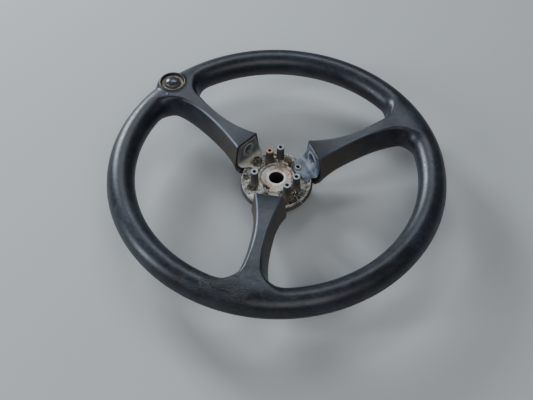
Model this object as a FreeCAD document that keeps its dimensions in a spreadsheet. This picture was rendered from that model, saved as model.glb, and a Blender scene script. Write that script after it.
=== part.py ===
"""A used three-spoke moulded steering wheel with its centre cover off.

The rim, spokes and hub bowl are one soft moulding over a steel armature: a core ring, three arms,
a cast hub plate and a serrated steel insert. Five pad posts stand on the plate, and a knob spindle
turns in a socket in the rim. Millimetres, +Z along the column towards the driver, origin on the
column axis at the rear mouth of the insert's bore, +Y away from the lower spoke.
"""
import FreeCAD, Part
import math
import os

import Sketcher

DRIVING = [
    ("rim_radius", 183.5, "centre circle of the rim"),
    ("rim_tube", 16.5, "radius of the rim's section"),
    ("rim_height", 50, "rim plane above the bore's rear mouth"),
    ("core_wire", 5, "radius of the steel core ring's wire"),
    ("spoke_right", 34, "direction of the right spoke, degrees"),
    ("spoke_left", 146, "direction of the left spoke, degrees"),
    ("spoke_lower", 270, "direction of the lower spoke, degrees"),
    ("spoke_start", 49.5, "end face of a spoke, from the axis"),
    ("spoke_top_waist", 5.3, "half width of the top face where it is narrowest"),
    ("spoke_top_hub", 16, "half width of the top face at the end face"),
    ("spoke_top_rim", 12.8, "half width of the top face near the rim"),
    ("spoke_belly_waist", 12.8, "half width of the belly where it is narrowest"),
    ("spoke_belly_hub", 21, "half width of the belly at the end face"),
    ("top_waist_at", 113, "where the top face is narrowest, from the axis"),
    ("top_flare_run", 47, "from there to the start of the rim"),
    ("belly_waist_at", 98, "where the belly is narrowest, from the axis"),
    ("belly_flare_run", 52, "length of the belly's flare towards the rim"),
    ("belly_flare", 5, "how far the belly flares to each side over that length"),
    ("valley_at", 75, "where the top face is lowest, from the axis"),
    ("valley_crown", 10.5, "top face above the rim plane where it is lowest"),
    ("crown_to_hub", 2, "rise of the top face from there to the end face"),
    ("crown_to_rim", 5.9, "rise of the top face from there to the rim"),
    ("belly_depth", 6.5, "belly below the rim plane at the rim"),
    ("belly_fall", 16, "fall of the belly from the rim to the end face"),
    ("keel_depth", 13, "underside below the rim plane at the rim"),
    ("keel_fall", 20, "fall of the underside from the rim to the end face"),
    ("fall_curve", 1.8, "power of both falls: they are steeper near the hub"),
    ("spoke_root", 24, "length of a spoke's root under the plate"),
    ("bowl_radius", 44, "hub bowl, at its lip"),
    ("bowl_neck", 28, "hub bowl, at its rear face"),
    ("bowl_rear", 2, "rear face of the bowl"),
    ("bowl_shoulder", 21, "height where the bowl starts to narrow"),
    ("bowl_lip", 26.5, "height of the bowl's lip"),
    ("plate_radius", 42, "cast hub plate"),
    ("plate_under", 22, "underside of the hub plate"),
    ("plate_top", 28, "working face of the hub plate"),
    ("plate_lip", 1.7, "width and rise of the plate's raised edge"),
    ("seat_ring", 23, "outer radius of the raised ring round the insert"),
    ("seat_ring_top", 34.8, "top of that ring"),
    ("insert_flange", 18.75, "radius of the insert's flange"),
    ("insert_gap", 0.45, "gap round the flange"),
    ("insert_shank", 16, "radius of the insert's shank"),
    ("insert_seat", 26, "underside of the flange"),
    ("insert_top", 34, "top face of the insert"),
    ("thread_bore", 8.75, "bore for the column's threaded end"),
    ("pilot_bore", 9.5, "plain bore at the rear mouth"),
    ("pilot_depth", 10, "depth of the plain bore"),
    ("spline_tip", 8.45, "tip radius of the serrations"),
    ("spline_root", 9.4, "root radius of the serrations"),
    ("spline_bottom", 0.12, "half width of a serration's groove at its root"),
    ("spline_mouth", 0.7, "half width of the groove just inside the tips"),
    ("spline_depth", 14, "length of the serrations"),
    ("spline_count", 36, "number of serrations"),
    ("arm_root", 24, "inner end of an arm, from the axis"),
    ("arm_knee", 58, "where an arm starts to rise"),
    ("arm_base", 28, "underside of an arm's tongue"),
    ("arm_thick", 6, "thickness of an arm's tongue"),
    ("arm_tip", 4.5, "thickness of an arm at the core ring"),
    ("arm_width", 17, "width of an arm"),
    ("arm_grip", 2.5, "how far an arm reaches into the core ring, from its centre"),
    ("arm_slope", 4, "how much sooner an arm's top rises than its underside"),
    ("sheet_root", 28.5, "inner edge of the right arm's wide sheet, from the axis"),
    ("sheet_width", 34, "width of that sheet"),
    ("shield_thick", 2.5, "thickness of the shield that an arm carries on the end face"),
    ("shield_foot", 18.5, "half width of a shield at its foot"),
    ("shield_head", 13.8, "half width of a shield at its top"),
    ("shield_top", 60, "top of a shield"),
    ("dish_radius", 7, "pressed dish in a shield"),
    ("dish_depth", 1.2, "depth of the dish"),
    ("dish_height", 47, "middle of the dish"),
    ("post_radius", 4.55, "pad post"),
    ("post_gap", 0.1, "gap between a post and the seat ring's scallop"),
    ("post_top", 53, "top of the sleeves in four posts"),
    ("post_top_tall", 58, "top of the sleeve in the tall post"),
    ("spigot_radius", 2.5, "spigot under a post"),
    ("spigot_depth", 4, "length of the spigot in the plate"),
    ("sleeve_radius", 2.9, "barrel of a threaded sleeve"),
    ("sleeve_length", 13, "length of a threaded sleeve"),
    ("sleeve_flange", 1, "thickness of a sleeve's flange"),
    ("screw_bore", 1.9, "screw hole in a sleeve"),
    ("knob_reach", 183, "knob socket, from the axis"),
    ("boss_base", 21, "radius of the rim's boss at its foot"),
    ("boss_top", 17, "radius of the boss at its lip"),
    ("boss_lip", 68.4, "height of the boss's lip"),
    ("recess_radius", 14.4, "recess inside the boss's lip"),
    ("socket_flange", 14, "radius of the socket's flange"),
    ("socket_seat", 60, "underside of the socket's flange"),
    ("socket_top", 65.5, "top of the socket's flange"),
    ("socket_barrel", 11, "radius of the socket's barrel"),
    ("socket_under", 39, "lower end of the socket"),
    ("head_clear", 10.1, "counterbore round the spindle's head"),
    ("head_floor", 62.5, "floor of the counterbore"),
    ("bush_radius", 6.5, "outside of the bush"),
    ("bush_bore", 5.04, "bore of the bush"),
    ("bush_flange", 0.8, "thickness of the bush's flange"),
    ("spindle_radius", 5, "stem of the knob spindle"),
    ("spindle_end", 37, "lower end of the stem"),
    ("head_radius", 9.5, "domed head of the spindle"),
    ("head_under", 63.5, "underside of the head"),
    ("head_top", 70.6, "top of the head"),
    ("head_round", 5, "rounding of the head's edge"),
    ("clip_groove", 4.2, "root radius of the circlip groove"),
    ("clip_low", 37.9, "lower side of the groove"),
    ("clip_high", 38.6, "upper side of the groove"),
    ("clip_radius", 7.2, "outside of the circlip"),
    ("cap_radius", 7.9, "dust cap under the socket"),
    ("cap_low", 34, "lower face of the dust cap"),
    ("cap_high", 36.4, "upper face of the dust cap"),
    ("eyelet_reach", 30.6, "lead eyelet, from the axis"),
    ("eyelet_angle", 40.6, "direction of the lead eyelet, degrees"),
    ("eyelet_barrel", 3, "radius of the eyelet's barrel"),
    ("eyelet_flange", 4.2, "radius of the eyelet's collar"),
    ("eyelet_rise", 1.8, "rise of the collar above the arm"),
    ("eyelet_bore", 2.1, "hole through the eyelet"),
    ("weld_leg", 2.4, "leg of an arm's weld bead"),
    ("weld_start", 30, "start of a weld bead, from the axis"),
    ("weld_length", 8.5, "length of a weld bead"),
    ("sheet_weld", 5.5, "length of a weld bead along the wide sheet"),
    ("groove_inner", 34.4, "sector groove in the plate, inner wall"),
    ("groove_outer", 39.6, "sector groove in the plate, outer wall"),
    ("groove_depth", 3, "depth of the sector groove"),
    ("groove_start", 289, "direction where the groove starts, degrees"),
    ("groove_sweep", 58, "angle that the groove covers, degrees"),
    ("pin_hole", 2.1, "radius of the two overlapping pin holes"),
    ("pin_reach", 20.6, "pin holes, from the axis"),
    ("pin_angle", 245, "direction between the pin holes, degrees"),
    ("pin_apart", 8, "angle between the pin holes, degrees"),
    ("block_reach", 24, "inner face of the horn contact block, from the axis"),
    ("block_angle", 70, "direction of the contact block, degrees"),
    ("block_long", 9, "contact block, across the radius"),
    ("block_wide", 7, "contact block, along the radius"),
    ("block_tall", 11, "contact block, above the plate"),
    ("rib_pitch", 2, "pitch of the grooves in the block"),
    ("rib_start", 1.6, "first groove, from the block's side"),
    ("rib_depth", 1.2, "depth of the grooves"),
    ("blade_reach", 20.8, "horn contact blade, from the axis"),
    ("blade_thick", 0.8, "thickness of the blade"),
    ("blade_long", 8, "length of the blade"),
    ("blade_tall", 5, "height of the blade"),
    ("blade_hole", 0.9, "radius of the blade's holes"),
]

POSTS = [
    ("one", 27.6, 117, "post_top"),
    ("two", 28.0, 90, "post_top_tall"),
    ("three", 26.8, 204, "post_top"),
    ("four", 27.2, 339.5, "post_top"),
    ("five", 29.2, 305, "post_top"),
]

SPOKES = ["right", "left", "lower"]
STATIONS = 9
BLOCK_GROOVES = 4

UP = FreeCAD.Vector(0, 0, 1)

doc = FreeCAD.newDocument("steering_wheel")
sheet = doc.addObject("Spreadsheet::Sheet", "Sizes")
for row, (alias, value, meaning) in enumerate(DRIVING, start=1):
    sheet.set(f"A{row}", meaning)
    sheet.set(f"B{row}", str(value))
    sheet.setAlias(f"B{row}", alias)
doc.recompute()


def size(name):
    """A driving dimension's value, read from the sheet."""
    return float(getattr(sheet, name))


def cell(text):
    """An expression with each driving dimension's name pointed at its cell."""
    words = []
    for word in text.split():
        known = any(word == alias for alias, _, _ in DRIVING)
        words.append(f"Sizes.{word}" if known else word)
    return " ".join(words)


def bind(item, **links):
    """Bind an object's properties to expressions in the sheet's names."""
    for prop, text in links.items():
        item.setExpression(prop, cell(text))
    return item


def stand(item, reach, angle, height="0"):
    """Place an object at a reach and a direction from the wheel's axis."""
    item.setExpression(".Placement.Base.x", cell(f"{reach} * cos( {angle} )"))
    item.setExpression(".Placement.Base.y", cell(f"{reach} * sin( {angle} )"))
    item.setExpression(".Placement.Base.z", cell(height))
    return item


def turn_to(item, direction):
    """Turn an object drawn along +X to a spoke's direction."""
    item.Placement = FreeCAD.Placement(FreeCAD.Vector(), FreeCAD.Rotation(UP, size(direction)))
    item.setExpression(".Placement.Rotation.Angle", cell(direction))
    return item


def outline(body, name, role, corners):
    """A closed sketch of straight lines, each corner held by two bound distances from the origin."""
    sketch = body.newObject("Sketcher::SketchObject", name)
    plane = [item for item in body.Origin.OriginFeatures if item.Role == role][0]
    sketch.AttachmentSupport = (plane, [""])
    sketch.MapMode = "FlatFace"
    texts = [(cell(across), cell(up)) for across, up in corners]
    spots = [FreeCAD.Vector(sketch.evalExpression(a), sketch.evalExpression(u), 0) for a, u in texts]
    count = len(spots)
    for i in range(count):
        sketch.addGeometry(Part.LineSegment(spots[i], spots[(i + 1) % count]), False)
    for i in range(count):
        sketch.addConstraint(Sketcher.Constraint("Coincident", i, 2, (i + 1) % count, 1))
    for i in range(count):
        pairs = (("DistanceX", texts[i][0], spots[i].x), ("DistanceY", texts[i][1], spots[i].y))
        for kind, text, value in pairs:
            made = sketch.addConstraint(Sketcher.Constraint(kind, -1, 1, i, 1, value))
            sketch.setExpression(f"Constraints[{made}]", text)
    return sketch


def turned(name, corners):
    """A body turned about Z from a section of (radius, height) corners."""
    body = doc.addObject("PartDesign::Body", name)
    sketch = outline(body, f"{name}_section", "XZ_Plane", corners)
    lathe = body.newObject("PartDesign::Revolution", f"{name}_turned")
    lathe.Profile = sketch
    lathe.ReferenceAxis = (sketch, ["V_Axis"])
    lathe.Angle = 360
    doc.recompute()
    return body


def cylinder(name, radius, low, high):
    """An upright cylinder between two heights."""
    item = doc.addObject("Part::Cylinder", name)
    bind(item, Radius=radius, Height=f"( {high} ) - ( {low} )")
    item.setExpression(".Placement.Base.z", cell(low))
    return item


def united(name, items):
    """One solid from several."""
    item = doc.addObject("Part::MultiFuse", name)
    item.Shapes = items
    item.Refine = False
    return item


def cut(name, base, tools):
    """A solid with others taken out of it."""
    tool = tools[0] if len(tools) == 1 else united(f"{name}_tools", tools)
    item = doc.addObject("Part::Cut", name)
    item.Base = base
    item.Tool = tool
    return item


def torus(name, ring, wire):
    """A ring of round section in the rim's plane."""
    item = doc.addObject("Part::Torus", name)
    bind(item, Radius1=ring, Radius2=wire)
    item.setExpression(".Placement.Base.z", cell("rim_height"))
    return item


def hub_insert():
    """The steel insert: flange, shank, threaded-end bore, serrations and plain pilot bore."""
    body = turned("hub_insert", [
        ("pilot_bore", "0"),
        ("insert_shank", "0"),
        ("insert_shank", "insert_seat"),
        ("insert_flange", "insert_seat"),
        ("insert_flange", "insert_top"),
        ("thread_bore", "insert_top"),
        ("thread_bore", "pilot_depth + spline_depth"),
        ("spline_tip", "pilot_depth + spline_depth"),
        ("spline_tip", "pilot_depth"),
        ("pilot_bore", "pilot_depth"),
    ])
    before = body.Shape.Volume
    tooth = outline(body, "tooth", "XY_Plane", [
        ("spline_tip - spline_bottom", "-1 * spline_mouth"),
        ("spline_root", "-1 * spline_bottom"),
        ("spline_root", "spline_bottom"),
        ("spline_tip - spline_bottom", "spline_mouth"),
    ])
    tooth.AttachmentOffset = FreeCAD.Placement(FreeCAD.Vector(0, 0, size("pilot_depth")), FreeCAD.Rotation())
    tooth.setExpression(".AttachmentOffset.Base.z", cell("pilot_depth"))
    groove = body.newObject("PartDesign::Pocket", "serration")
    groove.Profile = tooth
    groove.Reversed = True
    groove.setExpression("Length", cell("spline_depth"))
    doc.recompute()
    if not body.Shape.Volume < before:
        raise RuntimeError("the serration cut nothing")
    ring = body.newObject("PartDesign::PolarPattern", "serrations")
    ring.Originals = [groove]
    ring.Axis = (tooth, ["N_Axis"])
    ring.Angle = 360
    ring.setExpression("Occurrences", cell("spline_count"))
    body.Tip = ring
    return body


def bar(name, corners, width, direction):
    """A straight bar along a spoke, as wide to both sides of its section."""
    body = doc.addObject("PartDesign::Body", name)
    section = outline(body, f"{name}_section", "XZ_Plane", corners)
    pad = body.newObject("PartDesign::Pad", f"{name}_pad")
    pad.Profile = section
    pad.Midplane = True
    pad.setExpression("Length", cell(width))
    return turn_to(body, direction)


def arm(side, core):
    """A steel arm: a tongue on the hub plate, a shield on the spoke, and a rise to the core ring."""
    reach = "rim_radius - arm_grip"
    pieces = [arm_shield(side), bar(f"arm_{side}_bar", [
        ("arm_root", "arm_base"),
        ("arm_knee", "arm_base"),
        (reach, "rim_height - arm_tip / 2"),
        (reach, "rim_height + arm_tip / 2"),
        ("arm_knee - arm_slope", "arm_base + arm_thick"),
        ("arm_root", "arm_base + arm_thick"),
    ], "arm_width", f"spoke_{side}")]
    if side == "right":
        pieces.append(bar("arm_right_sheet", [
            ("sheet_root", "arm_base"),
            ("spoke_start - shield_thick", "arm_base"),
            ("spoke_start - shield_thick", "arm_base + arm_thick"),
            ("sheet_root", "arm_base + arm_thick"),
        ], "sheet_width", "spoke_right"))
    whole = united(f"arm_{side}_whole", pieces)
    return cut(f"arm_{side}_solid", whole, [core])


def arm_shield(side):
    """The dished shield that an arm carries against its spoke's end face."""
    body = doc.addObject("PartDesign::Body", f"shield_{side}")
    section = outline(body, f"shield_{side}_section", "YZ_Plane", [
        ("-1 * shield_foot", "arm_base"),
        ("shield_foot", "arm_base"),
        ("shield_head", "shield_top"),
        ("-1 * shield_head", "shield_top"),
    ])
    section.AttachmentOffset.Base.z = size("spoke_start") - size("shield_thick")
    section.setExpression(".AttachmentOffset.Base.z", cell("spoke_start - shield_thick"))
    pad = body.newObject("PartDesign::Pad", f"shield_{side}_pad")
    pad.Profile = section
    pad.setExpression("Length", cell("shield_thick"))
    dish = doc.addObject("Part::Cylinder", f"dish_{side}")
    bind(dish, Radius="dish_radius", Height="dish_depth + 1")
    dish.Placement.Rotation = FreeCAD.Rotation(FreeCAD.Vector(0, 1, 0), 90)
    dish.setExpression(".Placement.Base.x", cell("spoke_start - shield_thick - 1"))
    dish.setExpression(".Placement.Base.z", cell("dish_height"))
    return turn_to(cut(f"shield_{side}_dished", body, [dish]), f"spoke_{side}")


def spoke_section(station):
    """A spoke's section at a distance from the axis: flat top, drafted sides, round underside."""
    start = size("spoke_start")
    if station < size("top_waist_at"):
        ease = ((size("top_waist_at") - station) / (size("top_waist_at") - start)) ** 2
        top = size("spoke_top_waist") + (size("spoke_top_hub") - size("spoke_top_waist")) * ease
    else:
        ease = ((station - size("top_waist_at")) / size("top_flare_run")) ** 2
        top = size("spoke_top_waist") + (size("spoke_top_rim") - size("spoke_top_waist")) * ease
    if station < size("belly_waist_at"):
        ease = ((size("belly_waist_at") - station) / (size("belly_waist_at") - start)) ** 3
        belly = size("spoke_belly_waist") + (size("spoke_belly_hub") - size("spoke_belly_waist")) * ease
    else:
        ease = ((station - size("belly_waist_at")) / size("belly_flare_run")) ** 3
        belly = size("spoke_belly_waist") + size("belly_flare") * ease
    valley = size("valley_at")
    if station < valley:
        crown = size("valley_crown") + size("crown_to_hub") * ((valley - station) / (valley - start)) ** 2
    else:
        turn = math.pi / 2 * min(1, (station - valley) / valley)
        crown = size("valley_crown") + size("crown_to_rim") * math.sin(turn) ** 2
    fall = ((size("rim_radius") - station) / (size("rim_radius") - start)) ** size("fall_curve")
    plane = size("rim_height")
    belly_height = plane - size("belly_depth") - size("belly_fall") * fall
    keel = plane - size("keel_depth") - size("keel_fall") * fall
    left_top = FreeCAD.Vector(station, top, plane + crown)
    right_top = FreeCAD.Vector(station, -top, plane + crown)
    left_belly = FreeCAD.Vector(station, belly, belly_height)
    right_belly = FreeCAD.Vector(station, -belly, belly_height)
    under = Part.Arc(right_belly, FreeCAD.Vector(station, 0, keel), left_belly)
    return Part.Wire([
        Part.LineSegment(left_top, right_top).toShape(),
        Part.LineSegment(right_top, right_belly).toShape(),
        under.toShape(),
        Part.LineSegment(left_belly, left_top).toShape(),
    ])


def spoke(side):
    """A moulded spoke, lofted from its end face into the rim, with its low root into the bowl."""
    start = size("spoke_start")
    run = size("rim_radius") - start
    sections = [spoke_section(start + run * step / STATIONS) for step in range(STATIONS + 1)]
    loft = Part.makeLoft(sections, True, False)
    root = Part.Face(spoke_section(start)).extrude(FreeCAD.Vector(-size("spoke_root"), 0, 0))
    wide = 2 * size("bowl_radius")
    below = Part.makeBox(wide, wide, size("bowl_lip"), FreeCAD.Vector(0, -wide / 2, 0))
    item = doc.addObject("Part::Feature", f"spoke_{side}")
    item.Shape = loft.fuse(root.common(below))
    item.Placement = FreeCAD.Placement(FreeCAD.Vector(), FreeCAD.Rotation(UP, size(f"spoke_{side}")))
    return item


def rim_moulding(core, arms, socket_room):
    """The soft moulding: rim, spokes, bowl and boss, hollowed for the armature and the socket."""
    rim = torus("rim_tube_solid", "rim_radius", "rim_tube")
    bowl = cylinder("bowl_wall", "bowl_radius", "bowl_shoulder", "bowl_lip")
    neck = doc.addObject("Part::Cone", "bowl_neck_cone")
    bind(neck, Radius1="bowl_neck", Radius2="bowl_radius", Height="bowl_shoulder - bowl_rear")
    neck.setExpression(".Placement.Base.z", cell("bowl_rear"))
    boss = doc.addObject("Part::Cone", "knob_boss")
    bind(boss, Radius1="boss_base", Radius2="boss_top", Height="boss_lip - rim_height")
    stand(boss, "knob_reach", "spoke_left", "rim_height")
    solid = united("moulding_solid", [rim, bowl, neck, boss] + [spoke(side) for side in SPOKES])
    plate_room = cylinder("plate_room", "plate_radius", "plate_under", "boss_lip + 20")
    shank_room = cylinder("shank_room", "insert_shank", "-1", "plate_top")
    return cut("rim_moulding", solid, [core, plate_room, shank_room] + arms + socket_room)


def socket_rooms():
    """The spaces in the rim for the socket, its flange, and the way in from below."""
    flange = cylinder("flange_room", "recess_radius", "socket_seat", "boss_lip + 5")
    barrel = cylinder("barrel_room", "socket_barrel", "socket_under", "socket_seat + 1")
    access = cylinder("access_room", "cap_radius", "20", "socket_under + 1")
    for room, low in ((flange, "socket_seat"), (barrel, "socket_under"), (access, "20")):
        stand(room, "knob_reach", "spoke_left", low)
    return [flange, barrel, access]


def hub_plate(seats, arms):
    """The cast plate: a disc with a raised edge, a raised ring, a sector groove and fixing holes."""
    disc = turned("plate_disc", [
        ("insert_shank", "plate_under"),
        ("plate_radius", "plate_under"),
        ("plate_radius", "plate_top + plate_lip"),
        ("plate_radius - plate_lip", "plate_top + plate_lip"),
        ("plate_radius - plate_lip", "plate_top"),
        ("seat_ring", "plate_top"),
        ("seat_ring", "seat_ring_top"),
        ("insert_flange + insert_gap", "seat_ring_top"),
        ("insert_flange + insert_gap", "insert_seat"),
        ("insert_shank", "insert_seat"),
    ])
    groove = turned("plate_groove", [
        ("groove_inner", "plate_top - groove_depth"),
        ("groove_outer", "plate_top - groove_depth"),
        ("groove_outer", "plate_top + groove_depth"),
        ("groove_inner", "plate_top + groove_depth"),
    ])
    doc.getObject("plate_groove_turned").setExpression("Angle", cell("groove_sweep"))
    turn_to(groove, "groove_start")
    drills = [groove] + arms
    for name, reach, angle, _ in seats:
        drill = cylinder(f"drill_{name}", "spigot_radius", "plate_top - spigot_depth", "plate_top + 1")
        drills.append(stand(drill, str(reach), str(angle), "plate_top - spigot_depth"))
        scallop = cylinder(f"scallop_{name}", "post_radius + post_gap", "plate_top", "seat_ring_top + 1")
        drills.append(stand(scallop, str(reach), str(angle), "plate_top"))
    eye = cylinder("drill_eyelet", "eyelet_barrel", "plate_under - 1", "plate_top + 1")
    drills.append(stand(eye, "eyelet_reach", "eyelet_angle", "plate_under - 1"))
    for number, sign in enumerate(("+", "-")):
        hole = cylinder(f"pin_hole_{number}", "pin_hole", "plate_top", "seat_ring_top + 1")
        drills.append(stand(hole, "pin_reach", f"pin_angle {sign} pin_apart / 2", "plate_top"))
    return cut("hub_plate", disc, drills)


def pad_post(name, reach, angle, top):
    """A post for the centre pad, and the flanged threaded sleeve in its top."""
    post = turned(f"pad_post_{name}", [
        ("0", "plate_top - spigot_depth"),
        ("spigot_radius", "plate_top - spigot_depth"),
        ("spigot_radius", "plate_top"),
        ("post_radius", "plate_top"),
        ("post_radius", f"{top} - sleeve_flange"),
        ("sleeve_radius", f"{top} - sleeve_flange"),
        ("sleeve_radius", f"{top} - sleeve_length"),
        ("0", f"{top} - sleeve_length"),
    ])
    sleeve = turned(f"post_sleeve_{name}", [
        ("screw_bore", f"{top} - sleeve_length"),
        ("sleeve_radius", f"{top} - sleeve_length"),
        ("sleeve_radius", f"{top} - sleeve_flange"),
        ("post_radius", f"{top} - sleeve_flange"),
        ("post_radius", top),
        ("screw_bore", top),
    ])
    return [stand(item, str(reach), str(angle)) for item in (post, sleeve)]


def knob_socket():
    """The steel socket in the rim's boss."""
    body = turned("knob_socket", [
        ("bush_radius", "socket_under"),
        ("socket_barrel", "socket_under"),
        ("socket_barrel", "socket_seat"),
        ("socket_flange", "socket_seat"),
        ("socket_flange", "socket_top"),
        ("head_clear", "socket_top"),
        ("head_clear", "head_floor"),
        ("bush_radius", "head_floor"),
    ])
    return stand(body, "knob_reach", "spoke_left")


def knob_bush():
    """The flanged bronze bush that the spindle turns in."""
    body = turned("knob_bush", [
        ("bush_bore", "socket_under"),
        ("bush_radius", "socket_under"),
        ("bush_radius", "head_floor"),
        ("head_radius", "head_floor"),
        ("head_radius", "head_floor + bush_flange"),
        ("bush_bore", "head_floor + bush_flange"),
    ])
    return stand(body, "knob_reach", "spoke_left")


def knob_spindle():
    """The spindle: a stem with a circlip groove, and a domed head."""
    body = turned("knob_spindle", [
        ("0", "spindle_end"),
        ("spindle_radius", "spindle_end"),
        ("spindle_radius", "clip_low"),
        ("clip_groove", "clip_low"),
        ("clip_groove", "clip_high"),
        ("spindle_radius", "clip_high"),
        ("spindle_radius", "head_under"),
        ("head_radius", "head_under"),
        ("head_radius", "head_top"),
        ("0", "head_top"),
    ])
    base = body.Tip
    edges = []
    for number, edge in enumerate(base.Shape.Edges, start=1):
        box = edge.BoundBox
        if box.ZMin > size("head_top") - 0.01 and box.XLength > size("head_radius"):
            edges.append(f"Edge{number}")
    dome = body.newObject("PartDesign::Fillet", "dome")
    dome.Base = (base, edges)
    dome.setExpression("Radius", cell("head_round"))
    body.Tip = dome
    return stand(body, "knob_reach", "spoke_left")


def knob_circlip():
    """The circlip that keeps the spindle in its bush."""
    body = turned("knob_circlip", [
        ("clip_groove", "clip_low"),
        ("clip_radius", "clip_low"),
        ("clip_radius", "clip_high"),
        ("clip_groove", "clip_high"),
    ])
    return stand(body, "knob_reach", "spoke_left")


def knob_dust_cap():
    """The cap that closes the access hole under the socket."""
    cap = cylinder("knob_dust_cap", "cap_radius", "cap_low", "cap_high")
    return stand(cap, "knob_reach", "spoke_left", "cap_low")


def lead_eyelet():
    """The collared eyelet that the horn lead came through."""
    body = turned("lead_eyelet", [
        ("eyelet_bore", "plate_under"),
        ("eyelet_barrel", "plate_under"),
        ("eyelet_barrel", "arm_base + arm_thick"),
        ("eyelet_flange", "arm_base + arm_thick"),
        ("eyelet_flange", "arm_base + arm_thick + eyelet_rise"),
        ("eyelet_bore", "arm_base + arm_thick + eyelet_rise"),
    ])
    return stand(body, "eyelet_reach", "eyelet_angle")


def weld_beads():
    """The fillet welds along both sides of each arm's tongue."""
    beads = []
    for side in SPOKES:
        width, length = ("sheet_width", "sheet_weld") if side == "right" else ("arm_width", "weld_length")
        for sign in (1, -1):
            edge = sign * size(width) / 2
            base = size("arm_base")
            start = size("weld_start")
            corners = [
                FreeCAD.Vector(start, edge, base),
                FreeCAD.Vector(start, edge + sign * size("weld_leg"), base),
                FreeCAD.Vector(start, edge, base + size("weld_leg")),
            ]
            bead = Part.Face(Part.makePolygon(corners + corners[:1])).extrude(
                FreeCAD.Vector(size(length), 0, 0))
            bead.rotate(FreeCAD.Vector(), UP, size(f"spoke_{side}"))
            beads.append(bead)
    item = doc.addObject("Part::Feature", "arm_welds")
    item.Shape = Part.makeCompound(beads)
    return item


def contact_block():
    """The moulded block beside the tall post that carries the horn contact, grooved on top."""
    block = doc.addObject("Part::Box", "block_body")
    bind(block, Length="block_wide", Width="block_long", Height="block_tall")
    grooves = []
    for number in range(BLOCK_GROOVES):
        groove = doc.addObject("Part::Box", f"block_groove_{number}")
        bind(groove, Length="block_wide + 2", Width="rib_pitch / 2", Height="rib_depth + 1")
        groove.Placement.Base = FreeCAD.Vector(-1, 0, 0)
        groove.setExpression(".Placement.Base.y", cell(f"rib_start + rib_pitch * {number}"))
        groove.setExpression(".Placement.Base.z", cell("block_tall - rib_depth"))
        grooves.append(groove)
    item = cut("contact_block", block, grooves)
    return place_block(item, "block_reach", "block_long")


def contact_blade():
    """The brass horn contact standing between the block and the insert, with two holes."""
    blade = doc.addObject("Part::Box", "blade_body")
    bind(blade, Length="blade_thick", Width="blade_long", Height="blade_tall")
    holes = []
    for number, along in enumerate((0.3, 0.7)):
        hole = doc.addObject("Part::Cylinder", f"blade_hole_{number}")
        bind(hole, Radius="blade_hole", Height="blade_thick + 2")
        middle = FreeCAD.Vector(-1, along * size("blade_long"), size("blade_tall") / 2)
        hole.Placement = FreeCAD.Placement(middle, FreeCAD.Rotation(FreeCAD.Vector(0, 1, 0), 90))
        holes.append(hole)
    item = cut("contact_blade", blade, holes)
    item = place_block(item, "blade_reach", "blade_long")
    item.Placement.Base.z = size("seat_ring_top")
    return item


def place_block(item, reach, width):
    """Turn a box to the contact block's direction and centre it on that line, on the plate."""
    direction = FreeCAD.Rotation(UP, size("block_angle"))
    base = direction.multVec(FreeCAD.Vector(size(reach), -size(width) / 2, size("plate_top")))
    item.Placement = FreeCAD.Placement(base, direction)
    return item


def build():
    """Every node of the wheel, in order."""
    socket = knob_socket()
    ring = torus("core_ring", "rim_radius", "core_wire")
    socket_gap = stand(cylinder("socket_gap", "socket_barrel", "socket_under", "socket_seat"),
                       "knob_reach", "spoke_left", "socket_under")
    core = cut("rim_core", ring, [socket_gap])
    arms = [arm("right", ring), arm("left", ring), arm("lower", ring)]
    trimmed = cut("arm_left_trimmed", arms[1], [socket_gap])
    eye = stand(cylinder("arm_eye", "eyelet_barrel", "plate_top - 1", "seat_ring_top + 5"),
                "eyelet_reach", "eyelet_angle", "plate_top - 1")
    drilled = cut("arm_right_drilled", arms[0], [eye])
    nodes = {
        "rim_moulding": rim_moulding(ring, arms, socket_rooms()),
        "rim_core": core,
        "arm_right": drilled,
        "arm_left": trimmed,
        "arm_lower": arms[2],
        "arm_welds": weld_beads(),
        "hub_plate": hub_plate(POSTS, arms),
        "hub_insert": hub_insert(),
        "lead_eyelet": lead_eyelet(),
        "contact_block": contact_block(),
        "contact_blade": contact_blade(),
        "knob_socket": socket,
        "knob_bush": knob_bush(),
        "knob_spindle": knob_spindle(),
        "knob_circlip": knob_circlip(),
        "knob_dust_cap": knob_dust_cap(),
    }
    for name, reach, angle, top in POSTS:
        post, sleeve = pad_post(name, reach, angle, top)
        nodes[f"pad_post_{name}"] = post
        nodes[f"post_sleeve_{name}"] = sleeve
    return nodes


def write(nodes):
    """Check every object and shape, then write each node to its own file."""
    doc.recompute()
    for item in doc.Objects:
        if "Invalid" in item.State or "Error" in item.State:
            raise RuntimeError(f"{item.Name} failed: {item.State}")
    for label, item in nodes.items():
        if item.Shape.isNull() or not item.Shape.isValid():
            raise RuntimeError(f"{label} has no valid shape")
    os.makedirs("parts", exist_ok=True)
    for label, item in nodes.items():
        item.Label = label
        item.Shape.exportStep(f"parts/{label}.step")
        box = item.Shape.BoundBox
        print(f"{label:18s} {item.Shape.Volume:10.0f} mm3  z {box.ZMin:6.1f} {box.ZMax:6.1f}")


write(build())
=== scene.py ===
"""Looks of a used three-spoke moulded steering wheel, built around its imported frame.

Each sub-assembly is a class that holds its sizes, builds its meshes and dresses them. Lengths in
the dataclasses are in millimetres, as on a workshop drawing, and are turned into metres when a
mesh is made.
"""
import logging
import math
import random
from contextlib import contextmanager
from dataclasses import dataclass
from enum import Enum
from typing import Callable, Iterator, Sequence

import bmesh
import bpy
from mathutils import Matrix, Vector, noise


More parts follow.
